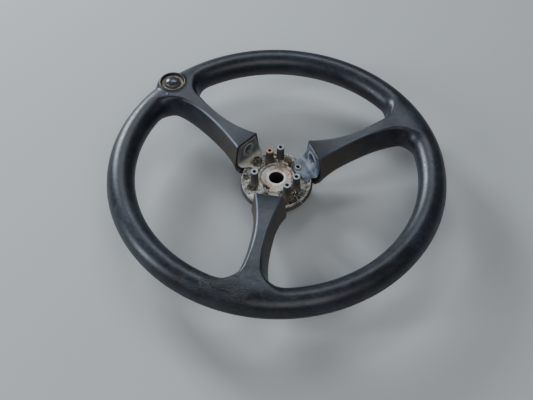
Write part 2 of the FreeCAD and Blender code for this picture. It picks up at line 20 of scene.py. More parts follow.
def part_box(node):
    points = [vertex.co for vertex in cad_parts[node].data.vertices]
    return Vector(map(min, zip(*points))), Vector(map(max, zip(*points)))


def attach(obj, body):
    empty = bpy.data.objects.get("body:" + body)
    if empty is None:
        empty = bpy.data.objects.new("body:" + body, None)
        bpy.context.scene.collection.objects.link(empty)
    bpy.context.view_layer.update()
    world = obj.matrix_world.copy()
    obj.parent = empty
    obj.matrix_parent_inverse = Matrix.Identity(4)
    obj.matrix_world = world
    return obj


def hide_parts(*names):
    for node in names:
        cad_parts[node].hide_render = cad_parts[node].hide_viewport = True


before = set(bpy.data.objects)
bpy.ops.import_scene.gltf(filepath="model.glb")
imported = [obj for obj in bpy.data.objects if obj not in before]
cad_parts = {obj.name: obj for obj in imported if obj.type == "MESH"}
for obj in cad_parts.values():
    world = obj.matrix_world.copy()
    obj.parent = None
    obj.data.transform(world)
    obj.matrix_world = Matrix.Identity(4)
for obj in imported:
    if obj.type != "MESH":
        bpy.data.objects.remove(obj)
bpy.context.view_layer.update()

MM = 0.001
UP = Vector((0, 0, 1))
WHEEL = "wheel"
KNOB = "knob"

log = logging.getLogger("steering_wheel")
Colour = tuple[float, float, float]


# ---------------------------------------------------------------- measures taken from the frame


class Frame:
    """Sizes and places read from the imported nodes, in millimetres."""

    @staticmethod
    def middle(node: str) -> Vector:
        """The centre of a node's box."""
        low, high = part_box(node)
        return (low + high) / 2 / MM

    @staticmethod
    def top(node: str) -> float:
        """The height of a node's top."""
        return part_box(node)[1].z / MM

    @staticmethod
    def bottom(node: str) -> float:
        """The height of a node's underside."""
        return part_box(node)[0].z / MM

    @staticmethod
    def radius(node: str) -> float:
        """Half of a round node's width along X."""
        low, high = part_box(node)
        return (high.x - low.x) / 2 / MM


PLANE = Frame.middle("rim_core").z
WIRE = (Frame.top("rim_core") - Frame.bottom("rim_core")) / 2
RIM = Frame.radius("rim_core") - WIRE
SKIN_GAP = 0.15
TUBE = Frame.radius("rim_moulding") - RIM - SKIN_GAP
KNOB_PLACE = Frame.middle("knob_spindle")
KNOB_TOP = Frame.top("knob_socket")
PLATE = Frame.radius("hub_plate")
PLATE_TOP = Frame.bottom("arm_welds")
SHIELD_TOP = Frame.top("arm_lower")
INSERT_TOP = Frame.top("hub_insert")
EYE = Frame.middle("lead_eyelet")
EYELET_RISE = 1.8
DECK = Frame.top("lead_eyelet") - EYELET_RISE
AXIS = Vector((0, 0, 0))


class Side(Enum):
    """The three spokes and their directions in degrees from +X."""

    RIGHT = 34.0
    LEFT = 146.0
    LOWER = 270.0

    @property
    def node(self) -> str:
        """The frame's arm under this spoke."""
        return f"arm_{self.name.lower()}"


# ---------------------------------------------------------------- bench: operators by hand


def settle() -> None:
    """Leave edit mode and deselect everything."""
    if bpy.context.object and bpy.context.object.mode != "OBJECT":
        bpy.ops.object.mode_set(mode="OBJECT")
    bpy.ops.object.select_all(action="DESELECT")


def take(item: bpy.types.Object) -> bpy.types.Object:
    """Select one object alone and make it active.

    Args:
        item: The object.

    Returns:
        The same object.
    """
    settle()
    item.select_set(True)
    bpy.context.view_layer.objects.active = item
    return item


@contextmanager
def editing(item: bpy.types.Object) -> Iterator[bmesh.types.BMesh]:
    """Open an object in edit mode and give its edit mesh.

    Args:
        item: The object to edit.

    Yields:
        The edit mesh, which is valid until an operator changes the topology.
    """
    take(item)
    bpy.ops.object.mode_set(mode="EDIT")
    bpy.ops.mesh.select_mode(type="VERT")
    yield bmesh.from_edit_mesh(item.data)
    bpy.ops.object.mode_set(mode="OBJECT")


def fresh(item: bpy.types.Object) -> bmesh.types.BMesh:
    """The edit mesh again, after an operator."""
    return bmesh.from_edit_mesh(item.data)


def select_faces(item: bpy.types.Object, wanted: Callable[[bmesh.types.BMFace], bool]) -> int:
    """Select the faces of the object in edit mode that pass a test, and no others.

    Args:
        item: The object in edit mode.
        wanted: Test on a face.

    Returns:
        How many faces are selected.
    """
    bpy.ops.mesh.select_all(action="DESELECT")
    bpy.ops.mesh.select_mode(type="FACE")
    mesh = fresh(item)
    for face in mesh.faces:
        face.select_set(wanted(face))
    mesh.select_flush_mode()
    bmesh.update_edit_mesh(item.data)
    return sum(face.select for face in mesh.faces)


def apply_modifier(item: bpy.types.Object, kind: str, **settings: object) -> None:
    """Add one modifier, set it and apply it.

    Args:
        item: The object.
        kind: Blender's modifier type.
        **settings: Properties of the modifier.
    """
    take(item)
    modifier = item.modifiers.new(kind.lower(), kind)
    for name, value in settings.items():
        setattr(modifier, name, value)
    bpy.ops.object.modifier_apply(modifier=modifier.name)


def settle_place(item: bpy.types.Object) -> bpy.types.Object:
    """Move an object's place into its mesh.

    Args:
        item: The object.

    Returns:
        The same object, at the origin.
    """
    take(item)
    bpy.ops.object.transform_apply(location=True, rotation=True, scale=True)
    return item


def rounded(item: bpy.types.Object, width: float, segments: int = 3, angle: float = 35) -> None:
    """Round an object's sharp edges.

    Args:
        item: The object.
        width: Bevel width, mm.
        segments: Steps across the bevel.
        angle: Edges sharper than this are rounded, degrees.
    """
    apply_modifier(item, "BEVEL", width=width * MM, segments=segments, limit_method="ANGLE",
                   angle_limit=math.radians(angle), use_clamp_overlap=True, harden_normals=False)


def outward(item: bpy.types.Object) -> None:
    """Merge doubles and turn the faces outwards.

    Args:
        item: A closed object.
    """
    with editing(item):
        bpy.ops.mesh.select_all(action="SELECT")
        bpy.ops.mesh.remove_doubles(threshold=1e-6)
        bpy.ops.mesh.normals_make_consistent(inside=False)


def smooth(item: bpy.types.Object, angle: float = 40) -> None:
    """Shade an object smooth, with edges sharper than the angle kept."""
    take(item)
    bpy.ops.object.shade_smooth_by_angle(angle=math.radians(angle))


def join(items: Sequence[bpy.types.Object]) -> bpy.types.Object:
    """Join objects into the first of them.

    Args:
        items: The objects.

    Returns:
        The first one, which now holds them all.
    """
    take(items[0])
    for item in items[1:]:
        item.select_set(True)
    bpy.ops.object.join()
    return items[0]


def boolean(item: bpy.types.Object, tool: bpy.types.Object, operation: str = "DIFFERENCE") -> None:
    """Combine a closed tool with an object, and remove the tool."""
    apply_modifier(item, "BOOLEAN", operation=operation, object=tool, solver="EXACT")
    bpy.data.objects.remove(tool)


def turned(name: str, profile: Sequence[tuple[float, float]], place: Vector | None = None,
           steps: int = 96, sweep: float = 360, start: float = 0) -> bpy.types.Object:
    """Turn a closed section about an upright axis, as on a lathe.

    Args:
        name: Name of the new object.
        profile: (radius, height) corners in mm. A corner at radius 0 lies on the axis.
        place: The axis's place in mm. None is the wheel's axis.
        steps: Segments in the turn.
        sweep: Angle turned through, degrees.
        start: Direction of the first section, degrees.

    Returns:
        The closed object, with its place in its mesh.
    """
    settle()
    bpy.ops.mesh.primitive_plane_add(size=MM)
    item = bpy.context.object
    item.name = name
    heading = math.radians(start)
    corners = [Vector((r * math.cos(heading), r * math.sin(heading), z)) * MM for r, z in profile]
    full = abs(sweep - 360) < 0.01
    with editing(item):
        bpy.ops.mesh.merge(type="CENTER")
        bpy.ops.transform.translate(value=corners[0])
        loop = corners[1:] + ([] if profile[0][0] == 0 and profile[-1][0] == 0 else corners[:1])
        here = corners[0]
        for corner in loop:
            bpy.ops.mesh.extrude_region_move(TRANSFORM_OT_translate={"value": corner - here})
            here = corner
        bpy.ops.mesh.select_all(action="SELECT")
        bpy.ops.mesh.remove_doubles(threshold=1e-7)
        if not full:
            bpy.ops.mesh.edge_face_add()
        bpy.ops.mesh.spin(steps=steps, angle=-math.radians(sweep), center=(0, 0, 0), axis=(0, 0, 1),
                          use_auto_merge=full)
    outward(item)
    if place is not None:
        item.location = (place.x * MM, place.y * MM, 0)
    return settle_place(item)


def block(name: str, low: Vector, high: Vector) -> bpy.types.Object:
    """A box between two corners.

    Args:
        name: Name of the new object.
        low: Lowest corner, mm.
        high: Highest corner, mm.

    Returns:
        The box, with its place in its mesh.
    """
    settle()
    bpy.ops.mesh.primitive_cube_add(size=1, location=(low + high) / 2 * MM, scale=(high - low) * MM)
    item = bpy.context.object
    item.name = name
    return settle_place(item)


def stamp(master: bpy.types.Object, place: Vector, scale: Vector | None = None,
          turn: float = 0) -> bpy.types.Object:
    """Copy a finished master, with a mesh of its own, to a place.

    Args:
        master: The object to copy.
        place: Where its origin goes, mm.
        scale: Its scale. None keeps the size.
        turn: Direction it is turned to about its upright axis, degrees.

    Returns:
        The copy, with its place in its mesh.
    """
    take(master)
    bpy.ops.object.duplicate(linked=False)
    copy = bpy.context.object
    copy.location = place * MM
    copy.rotation_euler.z = math.radians(turn)
    if scale is not None:
        copy.scale = scale
    return settle_place(copy)


def polar(reach: float, direction: float, height: float = 0) -> Vector:
    """A point at a reach and direction (degrees) from the axis, in mm."""
    heading = math.radians(direction)
    return Vector((reach * math.cos(heading), reach * math.sin(heading), height))


def turn_about_axis(item: bpy.types.Object, direction: float) -> bpy.types.Object:
    """Turn an object drawn along +X to a direction about the wheel's axis."""
    item.rotation_euler.z = math.radians(direction)
    return settle_place(item)


def paint_hole_shade(item: bpy.types.Object, place: Vector, radius: float, top: float) -> None:
    """Mark the wall of a hole for painted shade (1); the same attribute holds painted highlights as
    negative marks.

    Args:
        item: The pierced object.
        place: A point on the hole's axis, mm.
        radius: Radius of the hole, mm.
        top: The mark starts below this height, mm.
    """
    marks = item.data.attributes.get("hollow")
    marks = marks or item.data.attributes.new("hollow", "FLOAT", "POINT")
    for mark, vertex in zip(marks.data, item.data.vertices):
        spot = vertex.co / MM
        if (spot.xy - place.xy).length < radius and spot.z < top:
            mark.value = 1.0


def ease(share: float) -> float:
    """A smooth step from 0 to 1, clamped."""
    share = min(1.0, max(0.0, share))
    return share * share * (3 - 2 * share)


# ---------------------------------------------------------------- shader maths


class Value:
    """A shader socket that can be used in Python expressions."""

    def __init__(self, graph: "Graph", socket: bpy.types.NodeSocket) -> None:
        """Wrap a socket of a graph."""
        self.graph = graph
        self.socket = socket

    def _math(self, operation: str, first: object, second: object) -> "Value":
        """Add a Math node."""
        node = self.graph.node("ShaderNodeMath", {"operation": operation}, {0: first, 1: second})
        return Value(self.graph, node.outputs[0])

    def __add__(self, other: object) -> "Value":
        """Sum."""
        return self._math("ADD", self, other)

    def __radd__(self, other: object) -> "Value":
        """Reflected sum."""
        return self._math("ADD", other, self)

    def __sub__(self, other: object) -> "Value":
        """Difference."""
        return self._math("SUBTRACT", self, other)

    def __rsub__(self, other: object) -> "Value":
        """Reflected difference."""
        return self._math("SUBTRACT", other, self)

    def __mul__(self, other: object) -> "Value":
        """Product."""
        return self._math("MULTIPLY", self, other)

    def __rmul__(self, other: object) -> "Value":
        """Reflected product."""
        return self._math("MULTIPLY", other, self)

    def __truediv__(self, other: object) -> "Value":
        """Quotient."""
        return self._math("DIVIDE", self, other)

    def __pow__(self, other: object) -> "Value":
        """Power."""
        return self._math("POWER", self, other)

    def lower(self, other: object) -> "Value":
        """The smaller of two values."""
        return self._math("MINIMUM", self, other)

    def higher(self, other: object) -> "Value":
        """The larger of two values."""
        return self._math("MAXIMUM", self, other)

    def bearing(self, ahead: "Value") -> "Value":
        """Direction of (ahead, this value), in radians."""
        return self._math("ARCTAN2", self, ahead)

    def span(self, low: float, high: float) -> "Value":
        """Map low..high smoothly to 0..1, clamped. Low may be the larger."""
        node = self.graph.node("ShaderNodeMapRange", {"interpolation_type": "SMOOTHSTEP"},
                               {0: self, 1: low, 2: high, 3: 0.0, 4: 1.0})
        return Value(self.graph, node.outputs[0])


class Graph:
    """A material's node tree, built by expressions."""

    def __init__(self, name: str) -> None:
        """Make a material with an empty tree and one Principled shader."""
        self.material = bpy.data.materials.new(name)
        self.material.use_nodes = True
        self.tree = self.material.node_tree
        self.tree.nodes.clear()
        self.shader = self.node("ShaderNodeBsdfPrincipled", {}, {})
        self.node("ShaderNodeOutputMaterial", {}, {"Surface": self.shader.outputs[0]})
        self.place = self.node("ShaderNodeTexCoord", {}, {}).outputs["Object"]

    def node(self, kind: str, settings: dict[str, object], inputs: dict) -> bpy.types.Node:
        """Add a node.

        Args:
            kind: The node's type.
            settings: Properties, and "stops" for a ramp, set before the sockets.
            inputs: Values or links of its sockets, by index or name.

        Returns:
            The node.
        """
        made = self.tree.nodes.new(kind)
        for name, value in settings.items():
            if name == "stops":
                while len(made.color_ramp.elements) < len(value):
                    made.color_ramp.elements.new(0.5)
                for element, (spot, colour) in zip(made.color_ramp.elements, value):
                    element.position = spot
                    element.color = (*colour, 1)
            else:
                setattr(made, name, value)
        for key, value in inputs.items():
            if isinstance(value, Value):
                value = value.socket
            if isinstance(value, bpy.types.NodeSocket):
                self.tree.links.new(value, made.inputs[key])
            else:
                made.inputs[key].default_value = value
        return made

    def noise(self, size: float, detail: float = 4, roughness: float = 0.55, shift: float = 0,
              stretch: Sequence[float] = (1, 1, 1)) -> Value:
        """Cloudy noise from 0 to 1.

        Args:
            size: Width of one cloud, mm.
            detail: Octaves.
            roughness: Strength of the fine octaves.
            shift: Moves the pattern, to make another one.
            stretch: Scale along each axis.

        Returns:
            The noise.
        """
        mapping = self.node("ShaderNodeMapping", {"vector_type": "POINT"},
                            {"Vector": self.place, "Location": (shift, shift * 0.7, -shift),
                             "Scale": tuple(stretch)})
        made = self.node("ShaderNodeTexNoise", {"noise_dimensions": "3D"},
                         {"Vector": mapping.outputs[0], "Scale": 1 / (size * MM), "Detail": detail,
                          "Roughness": roughness})
        return Value(self, made.outputs[0])

    def along_rim(self, length: float, width: float, detail: float, swirl: float) -> Value:
        """Noise drawn out along the rim, from 0 to 1. Its seam is at the wheel's back.

        Args:
            length: Length of a streak, mm.
            width: Width of a streak, mm.
            detail: Octaves.
            swirl: How far the streaks are bent.

        Returns:
            The noise.
        """
        across, ahead = self.axis("X"), self.axis("Y") * -1
        turn = across.bearing(ahead) * (RIM / length)
        reach = (across * across + ahead * ahead) ** 0.5 / (width * MM)
        spot = self.node("ShaderNodeCombineXYZ", {}, {0: turn, 1: reach,
                                                      2: self.axis("Z") / (width * MM)})
        made = self.node("ShaderNodeTexNoise", {"noise_dimensions": "3D"},
                         {"Vector": spot.outputs[0], "Scale": 1.0, "Detail": detail,
                          "Roughness": 0.62, "Distortion": swirl})
        return Value(self, made.outputs[0])

    def axis(self, name: str, source: bpy.types.NodeSocket | None = None) -> Value:
        """One component, X, Y or Z, of the place in the wheel or of another vector."""
        made = self.node("ShaderNodeSeparateXYZ", {}, {0: source or self.place})
        return Value(self, made.outputs[name])

    def facing_up(self) -> Value:
        """How far the surface faces up: -1 to 1."""
        return self.axis("Z", self.node("ShaderNodeNewGeometry", {}, {}).outputs["Normal"])

    def distance(self, point: Vector, flat: bool = False) -> Value:
        """Distance from a point, or from the upright line through it.

        Args:
            point: The point, mm.
            flat: Measure from the upright line.

        Returns:
            The distance, mm.
        """
        parts = self.node("ShaderNodeVectorMath", {"operation": "SUBTRACT"},
                          {0: self.place, 1: tuple(point * MM)})
        scale = self.node("ShaderNodeVectorMath", {"operation": "MULTIPLY"},
                          {0: parts.outputs[0], 1: (1, 1, 0 if flat else 1)})
        length = self.node("ShaderNodeVectorMath", {"operation": "LENGTH"}, {0: scale.outputs[0]})
        return Value(self, length.outputs["Value"]) / MM

    def hollow(self) -> Value:
        """The painted light of a surface: 1 for painted shade in holes and dishes, -1 for a painted
        highlight, 0 elsewhere.
        """
        made = self.node("ShaderNodeAttribute", {"attribute_name": "hollow"}, {})
        return Value(self, made.outputs["Fac"])

    def mix(self, share: Value, first: object, second: object) -> bpy.types.NodeSocket:
        """Mix two colours.

        Args:
            share: How much of the second colour.
            first: A colour or a colour socket.
            second: A colour or a colour socket.

        Returns:
            The mixed colour's socket.
        """
        first, second = [(*colour, 1) if isinstance(colour, tuple) else colour
                         for colour in (first, second)]
        made = self.node("ShaderNodeMix", {"data_type": "RGBA", "clamp_factor": True},
                         {0: share, 6: first, 7: second})
        return made.outputs[2]

    def finish(self, colour: bpy.types.NodeSocket, roughness: Value, height: Value,
               depth: float, **constants: object) -> bpy.types.Material:
        """Join colour, roughness and relief to the shader.

        Args:
            colour: Base colour.
            roughness: Roughness.
            height: Relief from 0 to 1.
            depth: Depth of the relief, mm.
            **constants: Other sockets of the shader, with _ for a space.

        Returns:
            The material.
        """
        bump = self.node("ShaderNodeBump", {}, {"Height": height, "Strength": 1.0,
                                                "Distance": depth * MM})
        self.tree.links.new(colour, self.shader.inputs["Base Color"])
        self.tree.links.new(roughness.socket, self.shader.inputs["Roughness"])
        self.tree.links.new(bump.outputs[0], self.shader.inputs["Normal"])
        for name, value in constants.items():
            socket = self.shader.inputs[name.replace("_", " ")]
            if isinstance(value, Value):
                self.tree.links.new(value.socket, socket)
            else:
                socket.default_value = value
        return self.material


# ---------------------------------------------------------------- finishes


@dataclass(frozen=True)
class MouldedFoam:
    """Black soft moulding, worn to a satin by hands, with dust low down, a cracked patch, and
    painted highlights on the spokes' ridges and the pip.
    """

    name: str = "moulded_foam"
    dark: Colour = (0.0030, 0.0038, 0.0058)
    worn: Colour = (0.0260, 0.0320, 0.0470)
    dust: Colour = (0.125, 0.090, 0.058)
    # Colour of the painted highlights on the spokes' ridges and the pip.
    rubbed: Colour = (0.26, 0.31, 0.39)
    pale: Colour = (0.30, 0.26, 0.20)
    scuff_direction: float = 262
    scuff_reach: float = 50

    def material(self) -> bpy.types.Material:
        """Build the material.

        Returns:
            The material.
        """
        graph = Graph(self.name)
        clouds = graph.noise(46, 5, 0.6)
        patches = graph.noise(12, 5, 0.62, 3.1)
        fine = graph.noise(1.1, 3, 0.6, 7.7)
        grain = graph.noise(0.35, 2, 0.5, 1.3)
        specks = graph.noise(1.9, 2, 0.75, 5.2).span(0.70, 0.78)
        sparse = graph.noise(26, 3, 0.5, 9.4).span(0.50, 0.66)
        up = graph.facing_up()
        height = graph.axis("Z") / MM - PLANE
        near_hub = graph.distance(AXIS, flat=True).span(150, 55)
        mottle = graph.noise(3.0, 4, 0.7, 11.3)
        low = (up.span(0.42, -0.7) * 0.65 + height.span(2, -26) * 0.35
               + near_hub * up.span(0.80, 0.25) * 0.62)
        streaks = graph.noise(7, 6, 0.7, 2.2, (0.35, 0.35, 1.6))
        dusty = (low * (clouds * 0.9 + streaks * 0.9 - 0.25)).higher(0).lower(1)
        worn = (clouds.span(0.42, 0.66) * 0.45 + patches.span(0.44, 0.70) * 0.35
                + mottle.span(0.40, 0.66) * 0.30)
        rubs = graph.along_rim(22, 1.5, 5, 0.6)
        front = (graph.axis("Y") / MM).span(-118, -170)
        scuff = graph.distance(polar(RIM + 4, self.scuff_direction, PLANE + 8))
        ragged = graph.noise(11, 5, 0.65, 6.6, (0.5, 1, 1))
        scuffed = (1 - scuff / self.scuff_reach + (ragged - 0.5) * 2.2).span(0.15, 1.05)
        wrinkles = graph.along_rim(13, 2.1, 5, 1.4)
        cracks = ((wrinkles - 0.5) * (wrinkles - 0.5)).span(0.0024, 0.0) * scuffed
        scratches = rubs.span(0.60, 0.70) * front * patches.span(0.45, 0.62)
        colour = graph.mix(worn, self.dark, self.worn)
        colour = graph.mix(dusty * 0.72, colour, self.dust)
        colour = graph.mix(specks * sparse * 0.55, colour, self.pale)
        # Painted highlight, pale blue-grey, where the attribute mark is negative: along the spokes'
        # ridges and on the pip.
        rubbed = (graph.hollow() * -1).higher(0) * (0.55 + patches * 0.6)
        colour = graph.mix(rubbed, colour, self.rubbed)
        colour = graph.mix(cracks * 0.13 + scratches * 0.14, colour, self.dust)
        roughness = (0.34 + patches * 0.13 + (mottle - 0.5) * 0.5 - worn * 0.06 - rubbed * 0.1
                     + dusty * 0.4 + cracks * 0.2 + specks * sparse * 0.3 + scratches * 0.15)
        dimples = graph.noise(5, 3, 0.55, 4.4)
        relief = (grain * 0.10 + fine * 0.15 + patches * 0.30 + dusty * fine * 0.3 - cracks * 2.0
                  + mottle * 0.5 + scuffed * wrinkles * 2.0 - scratches * 0.4 + dimples * 0.4)
        return graph.finish(colour, roughness, relief, 0.15, Specular_IOR_Level=0.5)


@dataclass(frozen=True)
class Weathered:
    """A surface in two tones, mottled, pitted and dirty: most of the hub's pieces."""

    name: str
    base: Colour
    second: Colour
    dirt: Colour
    dirt_share: float = 0.5
    clump: float = 5.0
    roughness: float = 0.6
    spread: float = 0.2
    metallic: float = 0.0
    relief: float = 0.15
    foot: float | None = None
    foot_rise: float = 12.0
    crust: float = 0.0
    bright_to: float = 0.0
    # Colour of the polished ring inside bright_to, and of the painted highlights where the
    # attribute mark is negative.
    bright: Colour = (0.8, 0.8, 0.8)

    def material(self) -> bpy.types.Material:
        """Build the material.

        Returns:
            The material.
        """
        graph = Graph(self.name)
        mottle = graph.noise(self.clump, 6, 0.65, 1.0)
        clouds = graph.noise(self.clump * 3.2, 4, 0.6, 4.0)
        fine = graph.noise(self.clump * 0.16, 4, 0.7, 8.0)
        pits = graph.noise(self.clump * 0.4, 3, 0.6, 6.0).span(0.58, 0.70)
        colour = graph.mix(mottle.span(0.40, 0.60), self.base, self.second)
        dirty = (clouds * 0.9 + mottle * 0.6).span(0.72 - self.dirt_share * 0.3, 1.0) * 0.95
        if self.foot is not None:
            height = graph.axis("Z") / MM
            near = height.span(self.foot + self.foot_rise, self.foot)
            dirty = (dirty * 0.22 + near * (0.45 + mottle)).lower(1)
        dirty = dirty * self.dirt_share * 1.4
        colour = graph.mix(dirty, colour, self.dirt)
        colour = graph.mix(pits * 0.8 * self.dirt_share, colour, self.dirt)
        roughness = self.roughness + (mottle - 0.5) * self.spread + dirty * 0.25
        if self.bright_to:
            reach = graph.distance(AXIS, flat=True)
            ring = reach.span(self.bright_to + 1.2, self.bright_to - 0.8) * (mottle + 0.35).lower(1)
            colour = graph.mix(ring * (1 - pits * 0.6), colour, self.bright)
            roughness = roughness - ring * 0.2
        if self.crust:
            scabs = graph.noise(self.clump * 0.62, 5, 0.72, 12.0)
            scabs = scabs.span(0.60 - self.crust * 0.1, 0.66)
            colour = graph.mix(scabs * 0.85, colour, tuple(c * 0.45 for c in self.dirt))
        # Painted highlight where the attribute mark is negative, and painted shade, almost black,
        # in holes, dishes and the groove.
        hollow = graph.hollow()
        colour = graph.mix((hollow * -0.8).higher(0), colour, self.bright)
        colour = graph.mix(hollow * 0.96, colour, (0.006, 0.006, 0.006))
        metal = self.metallic * (1 - dirty.lower(1))
        relief = mottle * 0.5 + fine * 0.5 + dirty * fine * 0.8 - pits * 0.6
        return graph.finish(colour, roughness, relief, self.relief, Metallic=metal)


@dataclass(frozen=True)
class PolishedCap:
    """A dark plastic dome, polished by hands, with fine rubs."""

    name: str = "polished_cap"
    tone: Colour = (0.020, 0.024, 0.031)
    dust: Colour = (0.20, 0.165, 0.12)

    def material(self) -> bpy.types.Material:
        """Build the material.

        Returns:
            The material.
        """
        graph = Graph(self.name)
        rubs = graph.noise(3, 6, 0.7, 2.0, (1, 3.5, 1))
        clouds = graph.noise(7, 4, 0.55, 5.0)
        reach = graph.distance(KNOB_PLACE, flat=True)
        edge = reach.span(7.2, 9.2) * (0.4 + clouds)
        colour = graph.mix(clouds, self.tone, tuple(c * 1.9 for c in self.tone))
        colour = graph.mix((edge * 0.5 + rubs.span(0.62, 0.8) * 0.25).lower(1), colour, self.dust)
        roughness = 0.13 + rubs * 0.22 + edge * 0.35
        return graph.finish(colour, roughness, rubs * 0.6 + clouds * 0.4, 0.04, Coat_Weight=0.2)


@dataclass(frozen=True)
class PalePaper:
    """The studio floor: pale, even and matt."""

    name: str = "pale_floor"
    tone: Colour = (0.50, 0.50, 0.495)

    def material(self) -> bpy.types.Material:
        """Build the material.

        Returns:
            The material.
        """
        graph = Graph(self.name)
        clouds = graph.noise(300, 3, 0.5)
        colour = graph.mix(clouds, self.tone, tuple(c * 0.97 for c in self.tone))
        return graph.finish(colour, 0.85 + clouds * 0.1, clouds, 0.01)


SOIL = (0.085, 0.057, 0.032)
PALE_DIRT = (0.46, 0.42, 0.33)


class Finish(Enum):
    """Every finish, from the moulding's foam to the studio floor's paper."""

    FOAM = MouldedFoam()
    CAP = PolishedCap()
    FLOOR = PalePaper()
    CASTING = Weathered("chalky_casting", (0.86, 0.84, 0.76), (0.50, 0.47, 0.38),
                        (0.060, 0.044, 0.028), 0.55, 3.2, 0.72, 0.2, 0.1, 0.45, crust=1.1)
    INSERT = Weathered("rusty_insert", (0.62, 0.40, 0.27), (0.84, 0.79, 0.70), (0.22, 0.10, 0.05),
                       0.42, 5.5, 0.5, 0.22, 0.2, 0.16, crust=0.3, bright_to=11.9,
                       bright=(0.86, 0.83, 0.76))
    # ARM_DARK is the same grey pressed steel as ARM_GREY, painted darker as shade for the arms
    # turned away from the key light; it also carries pale dirt low down and crust.
    ARM_GREY = Weathered("grey_arm", (0.085, 0.100, 0.128), (0.185, 0.212, 0.26), SOIL, 0.30, 8.0,
                         0.44, 0.2, 0.40, 0.07, bright=(0.44, 0.48, 0.54))
    ARM_DARK = Weathered("arm_painted_shade", (0.060, 0.070, 0.085), (0.110, 0.125, 0.145), PALE_DIRT,
                         0.80, 3.0, 0.42, 0.25, 0.30, 0.20, PLATE_TOP + 4, 7, crust=0.5,
                         bright=(0.42, 0.45, 0.50))
    CORE = Weathered("core_wire", (0.30, 0.29, 0.28), (0.22, 0.20, 0.19), SOIL, 0.3, 5.0, 0.5,
                     0.2, 0.8, 0.1)
    WELD = Weathered("weld_metal", (0.34, 0.32, 0.27), (0.16, 0.155, 0.145), SOIL, 0.6, 2.0, 0.65,
                     0.2, 0.3, 0.3, crust=0.8)
    POST = Weathered("post_plastic", (0.020, 0.020, 0.020), (0.055, 0.053, 0.049),
                     (0.15, 0.115, 0.075), 0.75, 2.4, 0.6, 0.2, 0.0, 0.3, PLATE_TOP, 16)
    SLEEVE = Weathered("pale_sleeve", (0.36, 0.38, 0.40), (0.26, 0.27, 0.285), SOIL, 0.35, 1.3,
                       0.42, 0.2, 0.35, 0.06)
    RUSTY_SLEEVE = Weathered("rusty_sleeve", (0.46, 0.20, 0.10), (0.52, 0.37, 0.27),
                             (0.22, 0.09, 0.04), 0.4, 1.3, 0.6, 0.2, 0.2, 0.1)
    BLOCK = Weathered("dusty_block", (0.040, 0.037, 0.032), (0.27, 0.245, 0.19), SOIL, 0.6, 1.1,
                      0.8, 0.15, 0.0, 0.35)
    BRASS = Weathered("tarnished_brass", (0.62, 0.50, 0.27), (0.80, 0.73, 0.56), SOIL, 0.4, 1.2,
                      0.42, 0.2, 0.5, 0.08)
    SOCKET = Weathered("dusted_socket", (0.36, 0.285, 0.20), (0.25, 0.185, 0.12),
                       (0.12, 0.08, 0.048), 0.5, 2.2, 0.85, 0.12, 0.0, 0.18)
    BRONZE = Weathered("stained_bronze", (0.20, 0.13, 0.07), (0.11, 0.075, 0.045), SOIL, 0.5, 2.0,
                       0.45, 0.2, 0.7, 0.05)
    SPRING = Weathered("spring_steel", (0.20, 0.20, 0.21), (0.13, 0.13, 0.135), SOIL, 0.3, 1.5,
                       0.35, 0.15, 0.9, 0.03)
    RUBBER = Weathered("cap_rubber", (0.018, 0.018, 0.018), (0.035, 0.034, 0.032), SOIL, 0.45,
                       3.0, 0.7, 0.15, 0.0, 0.1)
    GRIME = Weathered("dry_grime", (0.13, 0.098, 0.062), (0.42, 0.37, 0.28),
                      (0.028, 0.022, 0.015), 0.8, 1.3, 0.92, 0.1, 0.0, 0.7, crust=1.2)
    STRAW = Weathered("dry_straw", (0.68, 0.62, 0.48), (0.24, 0.20, 0.14), (0.05, 0.038, 0.024),
                      0.6, 3.0, 0.85, 0.1, 0.0, 0.1)


class Shelf:
    """Makes each finish's material once."""

    made: dict[Finish, bpy.types.Material] = {}

    @classmethod
    def get(cls, finish: Finish) -> bpy.types.Material:
        """Find a finish's material, and make it on its first use.

        Args:
            finish: The finish.

        Returns:
            Its material.
        """
        if finish not in cls.made:
            cls.made[finish] = finish.value.material()
        return cls.made[finish]


def dress(item: bpy.types.Object, finish: Finish) -> bpy.types.Object:
    """Give an object one finish in its only material slot.

    Args:
        item: The object.
        finish: The finish.

    Returns:
        The same object.
    """
    item.data.materials.clear()
    item.data.materials.append(Shelf.get(finish))
    return item


def hand_over(item: bpy.types.Object, name: str, finish: Finish, body: str = WHEEL,
              stands_for: Sequence[str] = ()) -> bpy.types.Object:
    """Name, dress and attach a finished piece.

    Args:
        item: The piece, with its place in its mesh.
        name: Its name.
        finish: Its finish.
        body: The body it rides on.
        stands_for: Nodes of the frame that it replaces.

    Returns:
        The piece.
    """
    item.name = name
    item.data.name = name
    dress(item, finish)
    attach(item, body)
    if stands_for:
        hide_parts(*stands_for)
    triangles = sum(len(face.vertices) - 2 for face in item.data.polygons)
    log.info("%s: %d triangles on %s", name, triangles, body)
    return item


# ---------------------------------------------------------------- the moulding


